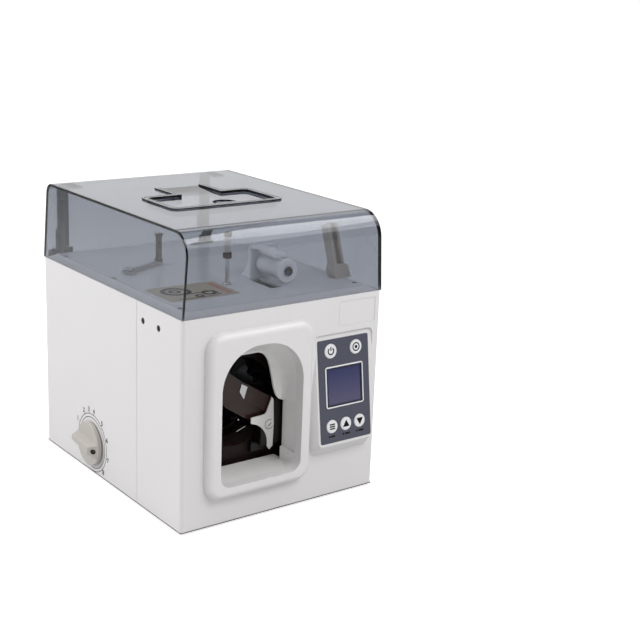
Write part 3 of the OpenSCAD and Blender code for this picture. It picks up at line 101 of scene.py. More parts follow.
def fixPlace(piece):
    selectOnly(piece)
    bpy.ops.object.transform_apply(location=True, rotation=True, scale=True)


def putAt(piece, matrix):
    piece.matrix_world = matrix
    fixPlace(piece)


# a basis whose first two directions lie in the surface and whose third points out of it
def basis(place, right, up):
    right, up = Vector(right).normalized(), Vector(up).normalized()
    out = right.cross(up)
    return Matrix(((right.x, up.x, out.x, place.x), (right.y, up.y, out.y, place.y),
                   (right.z, up.z, out.z, place.z), (0, 0, 0, 1)))


def panelBasis(u, v, w):
    lean = math.radians(panelFace["lean"])
    return basis(onPanel(u, v, w), (1, 0, 0), (0, math.sin(lean), math.cos(lean)))


def editSelected(piece, mode, rule):
    selectOnly(piece)
    bpy.ops.object.mode_set(mode="EDIT")
    bpy.ops.mesh.select_mode(type=mode)
    bpy.ops.mesh.select_all(action="DESELECT")
    bpy.ops.object.mode_set(mode="OBJECT")
    for item in piece.data.edges if mode == "EDGE" else piece.data.vertices:
        item.select = rule(item)
    bpy.ops.object.mode_set(mode="EDIT")


def leaveEdit():
    bpy.ops.object.mode_set(mode="OBJECT")


def editAll(piece):
    selectOnly(piece)
    bpy.ops.object.mode_set(mode="EDIT")
    bpy.ops.mesh.select_all(action="SELECT")


def tidyMesh(piece):
    editAll(piece)
    bpy.ops.mesh.remove_doubles(threshold=meshLimits["merge"])
    bpy.ops.mesh.normals_make_consistent(inside=False)
    leaveEdit()


def useModifier(piece, kind, **settings):
    selectOnly(piece)
    modifier = piece.modifiers.new(kind.lower(), kind)
    for key, value in settings.items():
        setattr(modifier, key, value)
    bpy.ops.object.modifier_apply(modifier=modifier.name)


def roundEdges(piece, width, segments=2):
    useModifier(piece, "BEVEL", width=width / 1000, segments=segments, limit_method="ANGLE",
                angle_limit=math.radians(meshLimits["edge"]), use_clamp_overlap=True, miter_outer="MITER_ARC")


# smooth where faces meet softly, with the large flat faces kept flat
def smoothPiece(piece, angle=meshLimits["soft"]):
    selectOnly(piece)
    bpy.ops.object.shade_smooth_by_angle(angle=math.radians(angle))
    useModifier(piece, "WEIGHTED_NORMAL", mode="FACE_AREA", weight=100, keep_sharp=True)


def dressPiece(piece, body, slotName, *replaced):
    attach(piece, body)
    if replaced:
        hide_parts(*replaced)
    return piece


def giveMaterial(piece, material):
    piece.data.materials.clear()
    piece.data.materials.append(material)


# the covers' outer edges at the bottom and along their seam are broken by a chamfer; the seam is at the back
# of a piece marked 1 and at the front of one marked -1; size is in millimetres, below and near are in metres
coverEdges = {"pieces": {"front_cover": 1, "rear_shell": -1}, "below": 0.00305, "size": 0.6, "near": 0.00005}


def chamferCover(piece, toSeam, look):
    spots = [v.co for v in piece.data.vertices]
    left, right = min(p.x for p in spots), max(p.x for p in spots)
    seam = max(p.y * toSeam for p in spots) * toSeam
    end = min(p.y * toSeam for p in spots if p.z < look["below"]) * toSeam

    def outer(edge):
        a, b = (piece.data.vertices[i].co for i in edge.vertices)
        low = a.z < look["below"] and b.z < look["below"]
        onSeam = abs(a.y - seam) < look["near"] and abs(b.y - seam) < look["near"]
        aside = any(abs(a.x - x) < look["near"] and abs(b.x - x) < look["near"] for x in (left, right))
        atEnd = abs(a.y - end) < look["near"] and abs(b.y - end) < look["near"]
        return aside and (low or onSeam) or low and atEnd

    editSelected(piece, "EDGE", outer)
    bpy.ops.mesh.bevel(offset=look["size"] / 1000, segments=1, affect="EDGES")
    leaveEdit()


# a merged copy of a node with its flat faces joined and its edges rounded
def finishedCopy(node, name, material, width):
    source = frame["nodes"][node]
    piece = bpy.data.objects.new(name, source.data.copy())
    bpy.context.scene.collection.objects.link(piece)
    selectOnly(piece)
    bpy.ops.mesh.customdata_custom_splitnormals_clear()
    editAll(piece)
    bpy.ops.mesh.remove_doubles(threshold=meshLimits["merge"])
    bpy.ops.mesh.dissolve_limited(angle_limit=math.radians(meshLimits["flat"]))
    leaveEdit()
    if node in coverEdges["pieces"]:
        chamferCover(piece, coverEdges["pieces"][node], coverEdges)
    roundEdges(piece, width)
    smoothPiece(piece)
    giveMaterial(piece, material)
    return dressPiece(piece, source["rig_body"], slotOf[node], node)


# thin flat shapes, drawn in x and y and given thickness in z, in millimetres
def thicken(piece, thick):
    editAll(piece)
    bpy.ops.mesh.extrude_region_move(TRANSFORM_OT_translate={"value": (0, 0, thick / 1000)})
    leaveEdit()
    tidyMesh(piece)


def flatDisc(name, radius, thick, matrix, sides, turn=0.0):
    bpy.ops.mesh.primitive_circle_add(vertices=sides, radius=radius / 1000, fill_type="NGON")
    piece = newPiece(name)
    editAll(piece)
    bpy.ops.transform.rotate(value=-math.radians(turn), orient_axis="Z", center_override=(0, 0, 0))
    leaveEdit()
    thicken(piece, thick)
    putAt(piece, matrix)
    return piece


def flatSheet(name, width, height):
    bpy.ops.mesh.primitive_plane_add(size=1)
    piece = newPiece(name)
    piece.scale = (width / 1000, height / 1000, 1)
    fixPlace(piece)
    return piece


def flatBar(name, width, height, thick, matrix, corner=0.0, steps=4):
    piece = flatSheet(name, width, height)
    if corner:
        editAll(piece)
        bpy.ops.mesh.bevel(offset=corner / 1000, segments=steps, affect="VERTICES")
        leaveEdit()
    thicken(piece, thick)
    putAt(piece, matrix)
    return piece


# what is left of a bar when its middle is taken out
def flatRim(name, width, height, rim, thick, matrix):
    piece = flatSheet(name, width, height)
    editAll(piece)
    bpy.ops.mesh.inset(thickness=rim / 1000)
    bpy.ops.mesh.delete(type="FACE")
    leaveEdit()
    thicken(piece, thick)
    putAt(piece, matrix)
    return piece


# the ends, in degrees, of a ring without a gap
fullRing = (0, 359)


# part of a ring, from one angle to another in degrees
def arcBand(name, radius, width, start, end, thick, matrix, steps=120):
    bpy.ops.mesh.primitive_circle_add(vertices=steps, radius=radius / 1000)
    piece = newPiece(name)
    half = 180 / steps
    middle, reach = math.radians((start + end) / 2), (end - start) / 2 + half / 2

    def outside(vertex):
        away = math.degrees(math.atan2(vertex.co.y, vertex.co.x) - middle)
        return abs((away + 180) % 360 - 180) > reach

    editSelected(piece, "VERT", outside)
    bpy.ops.mesh.delete(type="VERT")
    bpy.ops.mesh.select_all(action="SELECT")
    grow = (radius + width) / radius
    bpy.ops.mesh.extrude_edges_move()
    bpy.ops.transform.resize(value=(grow, grow, 1), center_override=(0, 0, 0))
    leaveEdit()
    thicken(piece, thick)
    putAt(piece, matrix)
    return piece


def joined(name, pieces):
    bpy.ops.object.select_all(action="DESELECT")
    for piece in pieces:
        piece.select_set(True)
    bpy.context.view_layer.objects.active = pieces[0]
    if len(pieces) > 1:
        bpy.ops.object.join()
    return newPiece(name)


# a tube that follows points given in millimetres of the housing
def tubeAlong(name, points, radius, sides=4, soft=50):
    line = bpy.data.curves.new(name, "CURVE")
    line.dimensions = "3D"
    spline = line.splines.new("POLY")
    spline.points.add(len(points) - 1)
    for spot, point in zip(spline.points, points):
        spot.co = (*at(*point), 1)
    line.bevel_depth = radius / 1000
    line.bevel_resolution = sides
    line.use_fill_caps = True
    holder = bpy.data.objects.new(name, line)
    bpy.context.scene.collection.objects.link(holder)
    selectOnly(holder)
    bpy.ops.object.convert(target="MESH")
    piece = newPiece(name)
    tidyMesh(piece)
    smoothPiece(piece, soft)
    return piece


def addNode(tree, kind, **inputs):
    node = tree.nodes.new("ShaderNode" + kind)
    for key, value in inputs.items():
        node.inputs[key.replace("_", " ")].default_value = value
    return node


def newMaterial(name):
    material = bpy.data.materials.new(name)
    material.use_nodes = True
    tree = material.node_tree
    tree.nodes.clear()
    output = tree.nodes.new("ShaderNodeOutputMaterial")
    shader = tree.nodes.new("ShaderNodeBsdfPrincipled")
    tree.links.new(shader.outputs["BSDF"], output.inputs["Surface"])
    return material, tree, shader


# the larger of two outputs
def either(tree, first, second):
    node = addNode(tree, "Math")
    node.operation = "MAXIMUM"
    tree.links.new(first, node.inputs[0])
    tree.links.new(second, node.inputs[1])
    return node.outputs[0]


def blend(tree, share, first, second):
    node = addNode(tree, "MixShader")
    tree.links.new(share, node.inputs[0])
    tree.links.new(first, node.inputs[1])
    tree.links.new(second, node.inputs[2])
    return node.outputs[0]


# a node that mixes two colours: its share, both colours and the result
def colourMix(tree, way="MIX"):
    node = addNode(tree, "Mix")
    node.data_type = "RGBA"
    node.blend_type = way
    return node.inputs[0], node.inputs[6], node.inputs[7], node.outputs[2]


def objectNoise(tree, scale, detail=2.0, stretch=(1, 1, 1)):
    place = addNode(tree, "TexCoord")
    spread = addNode(tree, "Mapping", Scale=stretch)
    noise = addNode(tree, "TexNoise", Scale=scale, Detail=detail)
    tree.links.new(place.outputs["Object"], spread.inputs["Vector"])
    tree.links.new(spread.outputs["Vector"], noise.inputs["Vector"])
    return noise.outputs["Fac"]


# what a finish has unless it says otherwise: blotch and grain count per metre, depth is in millimetres
plainLook = {"fade": 0.94, "blotch": 30.0, "uneven": 0.04, "grain": 900.0, "stretch": (1, 1, 1),
             "depth": 0.01, "metal": 0.0, "shine": 0.5}
noiseSpan = {"From_Min": 0.3, "From_Max": 0.7}


# moulded, printed or metal: an uneven colour and gloss under a fine grain
def finish(name, look):
    look = {**plainLook, **look}
    material, tree, shader = newMaterial(name)
    blotch = objectNoise(tree, look["blotch"], detail=3.0)
    share, full, faded, tint = colourMix(tree)
    full.default_value = (*look["colour"], 1)
    faded.default_value = (*[c * look["fade"] for c in look["colour"]], 1)
    tree.links.new(blotch, share)
    tree.links.new(tint, shader.inputs["Base Color"])
    gloss = addNode(tree, "MapRange", **noiseSpan, To_Min=look["roughness"] - look["uneven"],
                    To_Max=look["roughness"] + look["uneven"])
    tree.links.new(blotch, gloss.inputs["Value"])
    tree.links.new(gloss.outputs["Result"], shader.inputs["Roughness"])
    grain = objectNoise(tree, look["grain"], stretch=look["stretch"])
    bump = addNode(tree, "Bump", Strength=1.0, Distance=look["depth"] / 1000)
    tree.links.new(grain, bump.inputs["Height"])
    tree.links.new(bump.outputs["Normal"], shader.inputs["Normal"])
    shader.inputs["Metallic"].default_value = look["metal"]
    shader.inputs["Specular IOR Level"].default_value = look["shine"]
    return material


coverWhite = finish("coverWhite", {"colour": tone(228, 226, 227), "fade": 0.985, "roughness": 0.3,
                                   "uneven": 0.012, "grain": 800.0, "depth": 0.008, "blotch": 14.0})
linerWhite = finish("linerWhite", {"colour": tone(236, 235, 234), "fade": 0.98, "roughness": 0.34,
                                   "uneven": 0.015, "depth": 0.005})
deckGrey = finish("deckGrey", {"colour": tone(214, 216, 220), "fade": 0.96, "roughness": 0.22,
                               "depth": 0.005})
rollerWhite = finish("rollerWhite", {"colour": tone(246, 246, 250), "fade": 0.96, "roughness": 0.30,
                                     "depth": 0.006})
slateFilm = finish("slateFilm", {"colour": tone(76, 79, 93), "fade": 0.9, "roughness": 0.42, "grain": 1500.0,
                                 "depth": 0.006})
keyWhite = finish("keyWhite", {"colour": tone(232, 232, 234), "fade": 0.97, "roughness": 0.30,
                               "depth": 0.004})
inkBlack = finish("inkBlack", {"colour": tone(20, 20, 24), "fade": 0.8, "roughness": 0.6, "depth": 0.003,
                               "shine": 0.1})
# dark brown of painted shade, for the band under the covers
shadeBrown = finish("shadeBrown", {"colour": tone(92, 86, 80), "fade": 0.85, "roughness": 0.5, "depth": 0.005})
inkNavy = finish("inkNavy", {"colour": tone(30, 32, 52), "fade": 0.8, "roughness": 0.3, "depth": 0.003})
# grey of painted shade, for the screw's groove and slot
shadeGrey = finish("shadeGrey", {"colour": tone(84, 84, 86), "fade": 0.85, "roughness": 0.5, "depth": 0.003})
knobIvory = finish("knobIvory", {"colour": tone(192, 187, 181), "fade": 0.95, "roughness": 0.40,
                                 "depth": 0.012})
strapGrey = finish("strapGrey", {"colour": tone(38, 42, 54), "fade": 0.85, "roughness": 0.28, "depth": 0.008})
darkSteel = finish("darkSteel", {"colour": tone(70, 72, 78), "fade": 0.8, "roughness": 0.36, "metal": 0.8,
                                 "stretch": (1, 1, 0.1), "depth": 0.006})
brightSteel = finish("brightSteel", {"colour": tone(214, 214, 216), "fade": 0.9, "roughness": 0.24,
                                     "metal": 1.0, "stretch": (0.2, 1, 1), "depth": 0.004})
plateSilver = finish("plateSilver", {"colour": tone(232, 230, 228), "fade": 0.93, "roughness": 0.3,
                                     "metal": 0.4, "stretch": (0.2, 1, 1), "depth": 0.004})
zincSteel = finish("zincSteel", {"colour": tone(190, 192, 196), "fade": 0.85, "roughness": 0.34, "metal": 1.0,
                                 "blotch": 90.0, "depth": 0.008})
brownGloss = finish("brownGloss", {"colour": tone(50, 29, 23), "fade": 0.55, "roughness": 0.3, "depth": 0.01,
                                   "grain": 300.0})
blackPlastic = finish("blackPlastic", {"colour": tone(22, 19, 19), "fade": 0.8, "roughness": 0.3,
                                       "depth": 0.01})
darkPlate = finish("darkPlate", {"colour": tone(32, 21, 17), "fade": 0.7, "roughness": 0.45, "blotch": 60.0,
                                 "depth": 0.01, "shine": 0.25})
beigePlastic = finish("beigePlastic", {"colour": tone(196, 188, 180), "fade": 0.94, "roughness": 0.38,
                                       "depth": 0.01})
armGrey = finish("armGrey", {"colour": tone(176, 172, 168), "fade": 0.88, "roughness": 0.34, "metal": 0.7,
                             "depth": 0.006})
umberPlastic = finish("umberPlastic", {"colour": tone(70, 54, 44), "fade": 0.8, "roughness": 0.28,
                                       "depth": 0.01})
sleeveWhite = finish("sleeveWhite", {"colour": tone(206, 204, 202), "fade": 0.95, "roughness": 0.3,
                                     "depth": 0.006})
rubberBlack = finish("rubberBlack", {"colour": tone(36, 36, 36), "fade": 0.8, "roughness": 0.78,
                                     "depth": 0.03, "grain": 1200.0})
boardGreen = finish("boardGreen", {"colour": tone(26, 92, 52), "fade": 0.8, "roughness": 0.4, "blotch": 300.0,
                                   "depth": 0.03})
acetalIvory = finish("acetalIvory", {"colour": tone(228, 224, 212), "fade": 0.95, "roughness": 0.36,
                                     "depth": 0.006})
brassGold = finish("brassGold", {"colour": tone(212, 178, 104), "fade": 0.85, "roughness": 0.3, "metal": 1.0,
                                 "depth": 0.006})
motorGrey = finish("motorGrey", {"colour": tone(150, 152, 158), "fade": 0.85, "roughness": 0.42, "metal": 0.9,
                                 "depth": 0.01})
labelBeige = finish("labelBeige", {"colour": tone(172, 162, 144), "fade": 0.9, "roughness": 0.5,
                                   "blotch": 60.0, "depth": 0.004})
ruleRed = finish("ruleRed", {"colour": tone(178, 52, 46), "fade": 0.9, "roughness": 0.5, "depth": 0.004})


# clear smoked acrylic; lamps shine straight through it
def smokedClear(name, look):
    material, tree, shader = newMaterial(name)
    output = tree.nodes["Material Output"]
    shader.inputs["Base Color"].default_value = (*look["tint"], 1)
    shader.inputs["Transmission Weight"].default_value = 1.0
    shader.inputs["Roughness"].default_value = look["roughness"]
    shader.inputs["IOR"].default_value = look["ior"]
    ripple = objectNoise(tree, look["ripple"], detail=1.0)
    bump = addNode(tree, "Bump", Strength=1.0, Distance=look["depth"] / 1000)
    tree.links.new(ripple, bump.inputs["Height"])
    tree.links.new(bump.outputs["Normal"], shader.inputs["Normal"])
    clear = addNode(tree, "BsdfTransparent", Color=(*look["passes"], 1))
    rays = addNode(tree, "LightPath")
    lamps = either(tree, rays.outputs["Is Shadow Ray"], rays.outputs["Is Diffuse Ray"])
    shown = blend(tree, lamps, shader.outputs["BSDF"], clear.outputs["BSDF"])
    tree.links.new(shown, output.inputs["Surface"])
    smoke = addNode(tree, "VolumeAbsorption", Color=(*look["smoke"], 1), Density=look["density"])
    tree.links.new(smoke.outputs["Volume"], output.inputs["Volume"])
    return material


lidSmoke = smokedClear("lidSmoke", {"roughness": 0.0, "ior": 1.49, "ripple": 25.0, "depth": 0.0004,
                                    "passes": (0.94, 0.94, 0.94), "tint": (0.575, 0.59, 0.625),
                                    "smoke": (0.10, 0.16, 0.25), "density": 88.0})


# a display face, blue above and greyer below by a gradient in its colour, with a fine dot pitch; its heights
# and dots are in metres
def displayBlue(name, look):
    material, tree, shader = newMaterial(name)
    place = addNode(tree, "TexCoord")
    parts = addNode(tree, "SeparateXYZ")
    tree.links.new(place.outputs["Object"], parts.inputs["Vector"])
    height = addNode(tree, "MapRange", From_Min=look["low"], From_Max=look["high"], To_Min=0.0, To_Max=1.0)
    tree.links.new(parts.outputs["Z"], height.inputs["Value"])
    ramp = addNode(tree, "ValToRGB")
    ramp.color_ramp.elements[0].color = (*look["foot"], 1)
    ramp.color_ramp.elements[1].color = (*look["head"], 1)
    tree.links.new(height.outputs["Result"], ramp.inputs["Fac"])
    dots = addNode(tree, "TexBrick", Scale=1.0, Mortar_Size=look["dot"] * look["gap"],
                   Brick_Width=look["dot"], Row_Height=look["dot"], Color1=(1, 1, 1, 1),
                   Color2=(*look["uneven"], 1), Mortar=(*look["between"], 1))
    dots.offset = 0.0
    turned = addNode(tree, "Mapping", Rotation=(math.radians(90), 0, 0))
    tree.links.new(place.outputs["Object"], turned.inputs["Vector"])
    tree.links.new(turned.outputs["Vector"], dots.inputs["Vector"])
    share, plain, dotColour, dotted = colourMix(tree, "MULTIPLY")
    share.default_value = 1.0
    tree.links.new(ramp.outputs["Color"], plain)
    tree.links.new(dots.outputs["Color"], dotColour)
    tree.links.new(dotted, shader.inputs["Base Color"])
    shader.inputs["Roughness"].default_value = look["roughness"]
    return material


displayGlass = displayBlue("displayGlass", {"low": 0.100, "high": 0.139, "foot": tone(84, 82, 112),
                                            "head": tone(34, 40, 92), "dot": 0.0009, "gap": 0.08,
                                            "uneven": (0.97, 0.97, 0.97), "between": (0.8, 0.8, 0.8),
                                            "roughness": 0.14})
print("finishes made")

# node: [piece, finish, edge radius in millimetres]
finishedPieces = {
    "front_cover": ["frontCover", coverWhite, 0.5],
    "rear_shell": ["rearShell", coverWhite, 0.4],
    "mouth_liner": ["mouthLiner", linerWhite, 0.5],
    "base_plate": ["basePlate", zincSteel, 0.3],
    "feet": ["rubberFeet", rubberBlack, 0.5],
    "cover_screws": ["coverScrews", darkSteel, 0.15],
    "deck": ["deckPlate", deckGrey, 0.3],
    "panel_overlay": ["panelOverlay", slateFilm, 0.12],
    "display_frame": ["displayFrame", keyWhite, 0.2],
    "display_window": ["displayWindow", displayGlass, 0.12],
    "upper_left_key": ["upperLeftKey", keyWhite, 0.4],
    "upper_right_key": ["upperRightKey", keyWhite, 0.4],
    "set_key": ["setKey", keyWhite, 0.4],
    "up_key": ["upKey", keyWhite, 0.4],
    "down_key": ["downKey", keyWhite, 0.4],
    "hinge_straps": ["hingeStraps", strapGrey, 0.4],
    "lid_knuckles": ["lidKnuckles", darkSteel, 0.3],
    "hinge_brackets": ["hingeBrackets", darkSteel, 0.3],
    "hinge_pins": ["hingePins", brightSteel, 0.2],
    "roller_bracket": ["rollerBracket", rollerWhite, 0.5],
    "roller_pin": ["rollerPin", darkSteel, 0.2],
    "guide_roller": ["guideRoller", rollerWhite, 0.4],
    "reel_arm": ["reelArm", armGrey, 0.5],
    "reel_arm_roller": ["reelArmRoller", umberPlastic, 0.4],
    "reel_arm_pivot": ["reelArmPivot", brightSteel, 0.3],
    "guide_post": ["guidePost", brightSteel, 0.3],
    "post_fittings": ["postFittings", umberPlastic, 0.4],
    "lid_support": ["lidSupport", beigePlastic, 0.6],
    "front_plate": ["frontPlate", darkPlate, 0.2],
    "rear_plate": ["rearPlate", darkPlate, 0.2],
    "plate_studs": ["plateStuds", zincSteel, 0.2],
    "tape_arch": ["tapeArch", brownGloss, 0.5],
    "head_block": ["headBlock", blackPlastic, 0.4],
    "press_jaw": ["pressJaw", brownGloss, 0.3],
    "front_block": ["frontBlock", blackPlastic, 0.4],
    "retaining_plate": ["retainingPlate", plateSilver, 0.3],
    "clamp_arm": ["clampArm", brownGloss, 0.6],
    "power_inlet": ["powerInlet", blackPlastic, 0.4],
    "power_switch": ["powerSwitch", blackPlastic, 0.4],
    "note_trigger": ["noteTrigger", blackPlastic, 0.4],
    "trigger_bracket": ["triggerBracket", blackPlastic, 0.3],
    "lid": ["smokedLid", lidSmoke, 0.5],
}
made = {node: finishedCopy(node, *row) for node, row in finishedPieces.items()}

# painted shade: a dark band put in the shadow gap under the covers' bottom edge, standing in for the shadow
# line there
baseShadeBand = {"x": (0.15, 229.85), "y": (0.2, 283.8), "z": 2.3, "thick": 0.72, "width": 3.0, "edge": 0.1}


def makeBaseTrim(look):
    left, right = look["x"]
    front, back = look["y"]
    spot = Matrix.Translation(at((left + right) / 2, (front + back) / 2, look["z"]))
    piece = flatRim("baseShadeBand", right - left, back - front, look["width"], look["thick"], spot)
    roundEdges(piece, look["edge"])
    smoothPiece(piece)
    # painted shade: the band's dark brown stands in for the shadow line under the covers
    giveMaterial(piece, shadeBrown)
    dressPiece(piece, "housing", slotOf["base_plate"])


makeBaseTrim(baseShadeBand)
print("pieces finished:", len(made))

# what stays as it was made keeps its node and gets its finish
keptNodes = {
    "display_module": boardGreen, "control_board": boardGreen, "key_switches": blackPlastic,
    "knob_shaft": brightSteel, "tension_dial_pot": motorGrey, "tape_chutes": blackPlastic,
    "feed_roller": rubberBlack, "feed_gear": acetalIvory, "pinch_roller": acetalIvory,
    "feed_motor": motorGrey, "motor_pinion": brassGold, "jaw_rods": brightSteel,
    "cutter_blade": brightSteel, "cam_shaft": zincSteel, "cam_motor": motorGrey,
    "transformer": zincSteel, "power_board": boardGreen,
}
for node, material in keptNodes.items():
    giveMaterial(frame["nodes"][node], material)


# gives the faces that the rule picks another finish
def partFinish(piece, material, rule):
    piece.data.materials.append(material)
    last = len(piece.data.materials) - 1
    for face in piece.data.polygons:
        if rule(face.center):
            face.material_index = last


# the white sleeve's ends on the post, in metres, and the edges of the arm's bright wear piece, in millimetres
sleeve = {"low": 0.2457, "high": 0.2641}
wearPiece = {"right": 80, "front": 32.99}
partFinish(made["post_fittings"], sleeveWhite, lambda p: sleeve["low"] < p.z < sleeve["high"])
partFinish(made["clamp_arm"], brightSteel,
           lambda p: p.y < at(0, wearPiece["front"], 0).y and p.x > at(wearPiece["right"], 0, 0).x)


def onFront(x, y, z):
    return basis(at(x, y, z), (1, 0, 0), (0, 0, 1))


# painted shade: a dark ring for the shaded groove round the screw on the retaining plate, and a dark bar for
# the shade in its slot
plateScrewShade = {"x": 118.7, "z": 79.6, "sink": 0.02, "thick": 0.06,
              "ring": {"y": 29.5, "radius": 4.6, "width": 0.6, "ends": (60, 330), "steps": 60},
              "slot": {"y": 28.5, "width": 5.0, "height": 1.0, "corner": 0.2, "turn": 35}}


def makePlateMarks(look):
    ring, slot = look["ring"], look["slot"]
    spot = onFront(look["x"], ring["y"] + look["sink"], look["z"])
    band = arcBand("plateRingShade", ring["radius"], ring["width"], *ring["ends"], look["thick"], spot,
                   ring["steps"])
    turned = Matrix.Rotation(math.radians(slot["turn"]), 4, "Z")
    spot = onFront(look["x"], slot["y"] + look["sink"], look["z"]) @ turned
    bar = flatBar("plateSlotShade", slot["width"], slot["height"], look["thick"], spot, slot["corner"])
    piece = joined("plateScrewShade", [band, bar])
    # painted shade in the screw's groove and slot
    giveMaterial(piece, shadeGrey)
    dressPiece(piece, "housing", "black_plastic")


makePlateMarks(plateScrewShade)

# the bright rivet and strip on the front plate, whose face is at y
mouthSteel = {"y": 45.0, "sink": 0.1, "edge": 0.15,
              "rivet": {"x": 92.2, "z": 84.5, "radius": 0.9, "thick": 0.6, "sides": 24},
              "strip": {"x": 95.6, "z": 74.2, "width": 11.2, "height": 0.9, "thick": 0.5, "corner": 0.3,
                        "turn": 19}}


def makeMouthSteel(look):
    y = look["y"] + look["sink"]
    dot, bar = look["rivet"], look["strip"]
    rivet = flatDisc("rivet", dot["radius"], dot["thick"], onFront(dot["x"], y, dot["z"]), dot["sides"])
    spot = onFront(bar["x"], y, bar["z"]) @ Matrix.Rotation(math.radians(bar["turn"]), 4, "Z")
    strip = flatBar("strip", bar["width"], bar["height"], bar["thick"], spot, bar["corner"])
    piece = joined("mouthRivetAndStrip", [rivet, strip])
    roundEdges(piece, look["edge"])
    smoothPiece(piece)
    giveMaterial(piece, brightSteel)
    dressPiece(piece, "housing", "bright_steel")


makeMouthSteel(mouthSteel)
print("mouth detail made")

# heights above the panel's face, and the middles of the keys on it
overlayTop = 0.5
keyTop = 1.2
keys = {"upper_left_key": (-15.7, 40.5), "upper_right_key": (15.7, 40.5), "set_key": (-17.3, -35.5),
        "up_key": (0.0, -35.5), "down_key": (17.3, -35.5)}
symbolLook = {"proud": 0.05, "sink": 0.02, "arrow": 4.7, "arrowSides": 3, "arrowDown": 0.6, "halfTurn": 180,
              "bar": (6.6, 1.4), "barGap": 2.2, "arc": (2.7, 1.3), "arcEnds": (125, 415), "stem": (1.3, 3.8),
              "stemUp": 2.4, "ring": (3.3, 1.2), "ringSteps": 60, "square": (3.0, 3.0),
              "corners": {"bar": 0.4, "stem": 0.3, "square": 0.4}}


def keySpot(key, dv=0.0):
    u, v = keys[key]
    return panelBasis(u, v + dv, keyTop - symbolLook["sink"])


def makeSymbols(look):
    t, corner = look["proud"] + look["sink"], look["corners"]
    sides, down, gap = look["arrowSides"], look["arrowDown"], look["barGap"]
    symbols = {
        "up_key": [flatDisc("upArrow", look["arrow"], t, keySpot("up_key", -down), sides)],
        "down_key": [
            flatDisc("downArrow", look["arrow"], t, keySpot("down_key", down), sides, look["halfTurn"])],
        "set_key": [flatBar("setBar", *look["bar"], t, keySpot("set_key", dv), corner["bar"])
                    for dv in (-gap, 0.0, gap)],
        "upper_left_key": [
            arcBand("startArc", *look["arc"], *look["arcEnds"], t, keySpot("upper_left_key")),
            flatBar("startBar", *look["stem"], t, keySpot("upper_left_key", look["stemUp"]), corner["stem"])],
        "upper_right_key": [
            arcBand("stopRing", *look["ring"], *fullRing, t, keySpot("upper_right_key"), look["ringSteps"]),
            flatBar("stopSquare", *look["square"], t, keySpot("upper_right_key"), corner["square"])],
    }
    for key, parts in symbols.items():
        piece = joined(key.replace("_key", "Symbol").replace("_", ""), parts)
        giveMaterial(piece, inkBlack)
        dressPiece(piece, key, "black_plastic")


makeSymbols(symbolLook)

# short bars under the lower keys, as [u, width]
marks = {"v": -45.6, "height": 1.8, "proud": 0.03, "sink": 0.02, "corner": 0.3,
         "rows": [(-20.6, 2.0), (-16.4, 4.6), (-3.4, 2.0), (1.8, 6.2), (13.6, 2.0), (18.8, 6.2)]}


def makeMarks(look):
    bars = [flatBar("mark", width, look["height"], look["proud"] + look["sink"],
                    panelBasis(u, look["v"], overlayTop - look["sink"]), look["corner"])
            for u, width in look["rows"]]
    piece = joined("overlayMarks", bars)
    giveMaterial(piece, inkBlack)
    dressPiece(piece, "housing", "overlay_film")


makeMarks(marks)

# dark lip round the display, on its white frame
displayMask = {"width": 44.2, "height": 39.2, "up": 4.0, "lip": 1.7, "top": 1.08, "thick": 0.05}


def makeDisplayMask(look):
    piece = flatRim("displayMask", look["width"], look["height"], look["lip"], look["thick"],
                    panelBasis(0, look["up"], look["top"]))
    giveMaterial(piece, inkNavy)
    dressPiece(piece, "housing", "overlay_film")


makeDisplayMask(displayMask)

# plain plate let into the recess above the panel
blankPlate = {"x": 200.25, "z": 191.6, "width": 43.7, "height": 23.8, "back": 0.62, "thick": 0.3,
              "corner": 1.6, "edge": 0.12}


def makeBlankPlate(look):
    spot = onFront(look["x"], look["back"], look["z"])
    piece = flatBar("blankPlate", look["width"], look["height"], look["thick"], spot, look["corner"])
    roundEdges(piece, look["edge"])
    smoothPiece(piece)
    giveMaterial(piece, coverWhite)
    dressPiece(piece, "housing", "cover_plastic")


makeBlankPlate(blankPlate)
print("panel detail made")

# rings, ticks and plain numbers printed round the knob; each number is placed by its y and z
dial = {"y": 177.0, "z": 34.5, "rings": (27.0, 30.6), "line": 0.7, "start": -96, "end": 166, "proud": 0.03,
        "sunk": 0.05, "tick": 2.2, "tickOut": 1.4, "size": 7.0, "bold": 0.03,
        "numbers": [(209.4, 51.1), (195.3, 64.5), (183.9, 69.2), (172.8, 69.5), (155.4, 62.0), (144.9, 47.1),
                    (143.4, 25.8), (153.6, 9.2)]}


# on the left side: u to the front, v up
def onSide(u, v, out=0.0):
    return basis(at(-out, dial["y"] - u, dial["z"] + v), (0, -1, 0), (0, 0, 1))


# drawn a metre high and then made small, because tiny text isn't filled cleanly
def digit(text, size, thick, bold, matrix):
    bpy.ops.object.text_add()
    letter = bpy.context.view_layer.objects.active
    letter.data.body = text
    letter.data.align_x = "CENTER"
    letter.data.align_y = "CENTER"
    letter.data.extrude = thick / size
    letter.data.offset = bold
    bpy.ops.object.convert(target="MESH")
    piece = newPiece("digit" + text)
    piece.scale = (size / 1000, size / 1000, size / 1000)
    fixPlace(piece)
    putAt(piece, matrix)
    return piece


def makeDial(look):
    thick = look["proud"] + look["sunk"]
    middle = onSide(0, 0, -look["sunk"])
    parts = [arcBand("dialRing", radius, look["line"], look["start"], look["end"], thick, middle)
             for radius in look["rings"]]
    away = look["rings"][-1] + look["tickOut"]
    for number, (y, z) in enumerate(look["numbers"], 1):
        u, v = look["y"] - y, z - look["z"]
        angle = math.atan2(v, u)
        parts.append(digit(str(number), look["size"], look["proud"], look["bold"], onSide(u, v)))
        tick = flatBar("tick", look["tick"], look["line"], thick, Matrix())
        putAt(tick, onSide(away * math.cos(angle), away * math.sin(angle), -look["sunk"])
              @ Matrix.Rotation(angle, 4, "Z"))
        parts.append(tick)
    piece = joined("dialPrint", parts)
    giveMaterial(piece, inkBlack)
    dressPiece(piece, "housing", "black_plastic")


makeDial(dial)

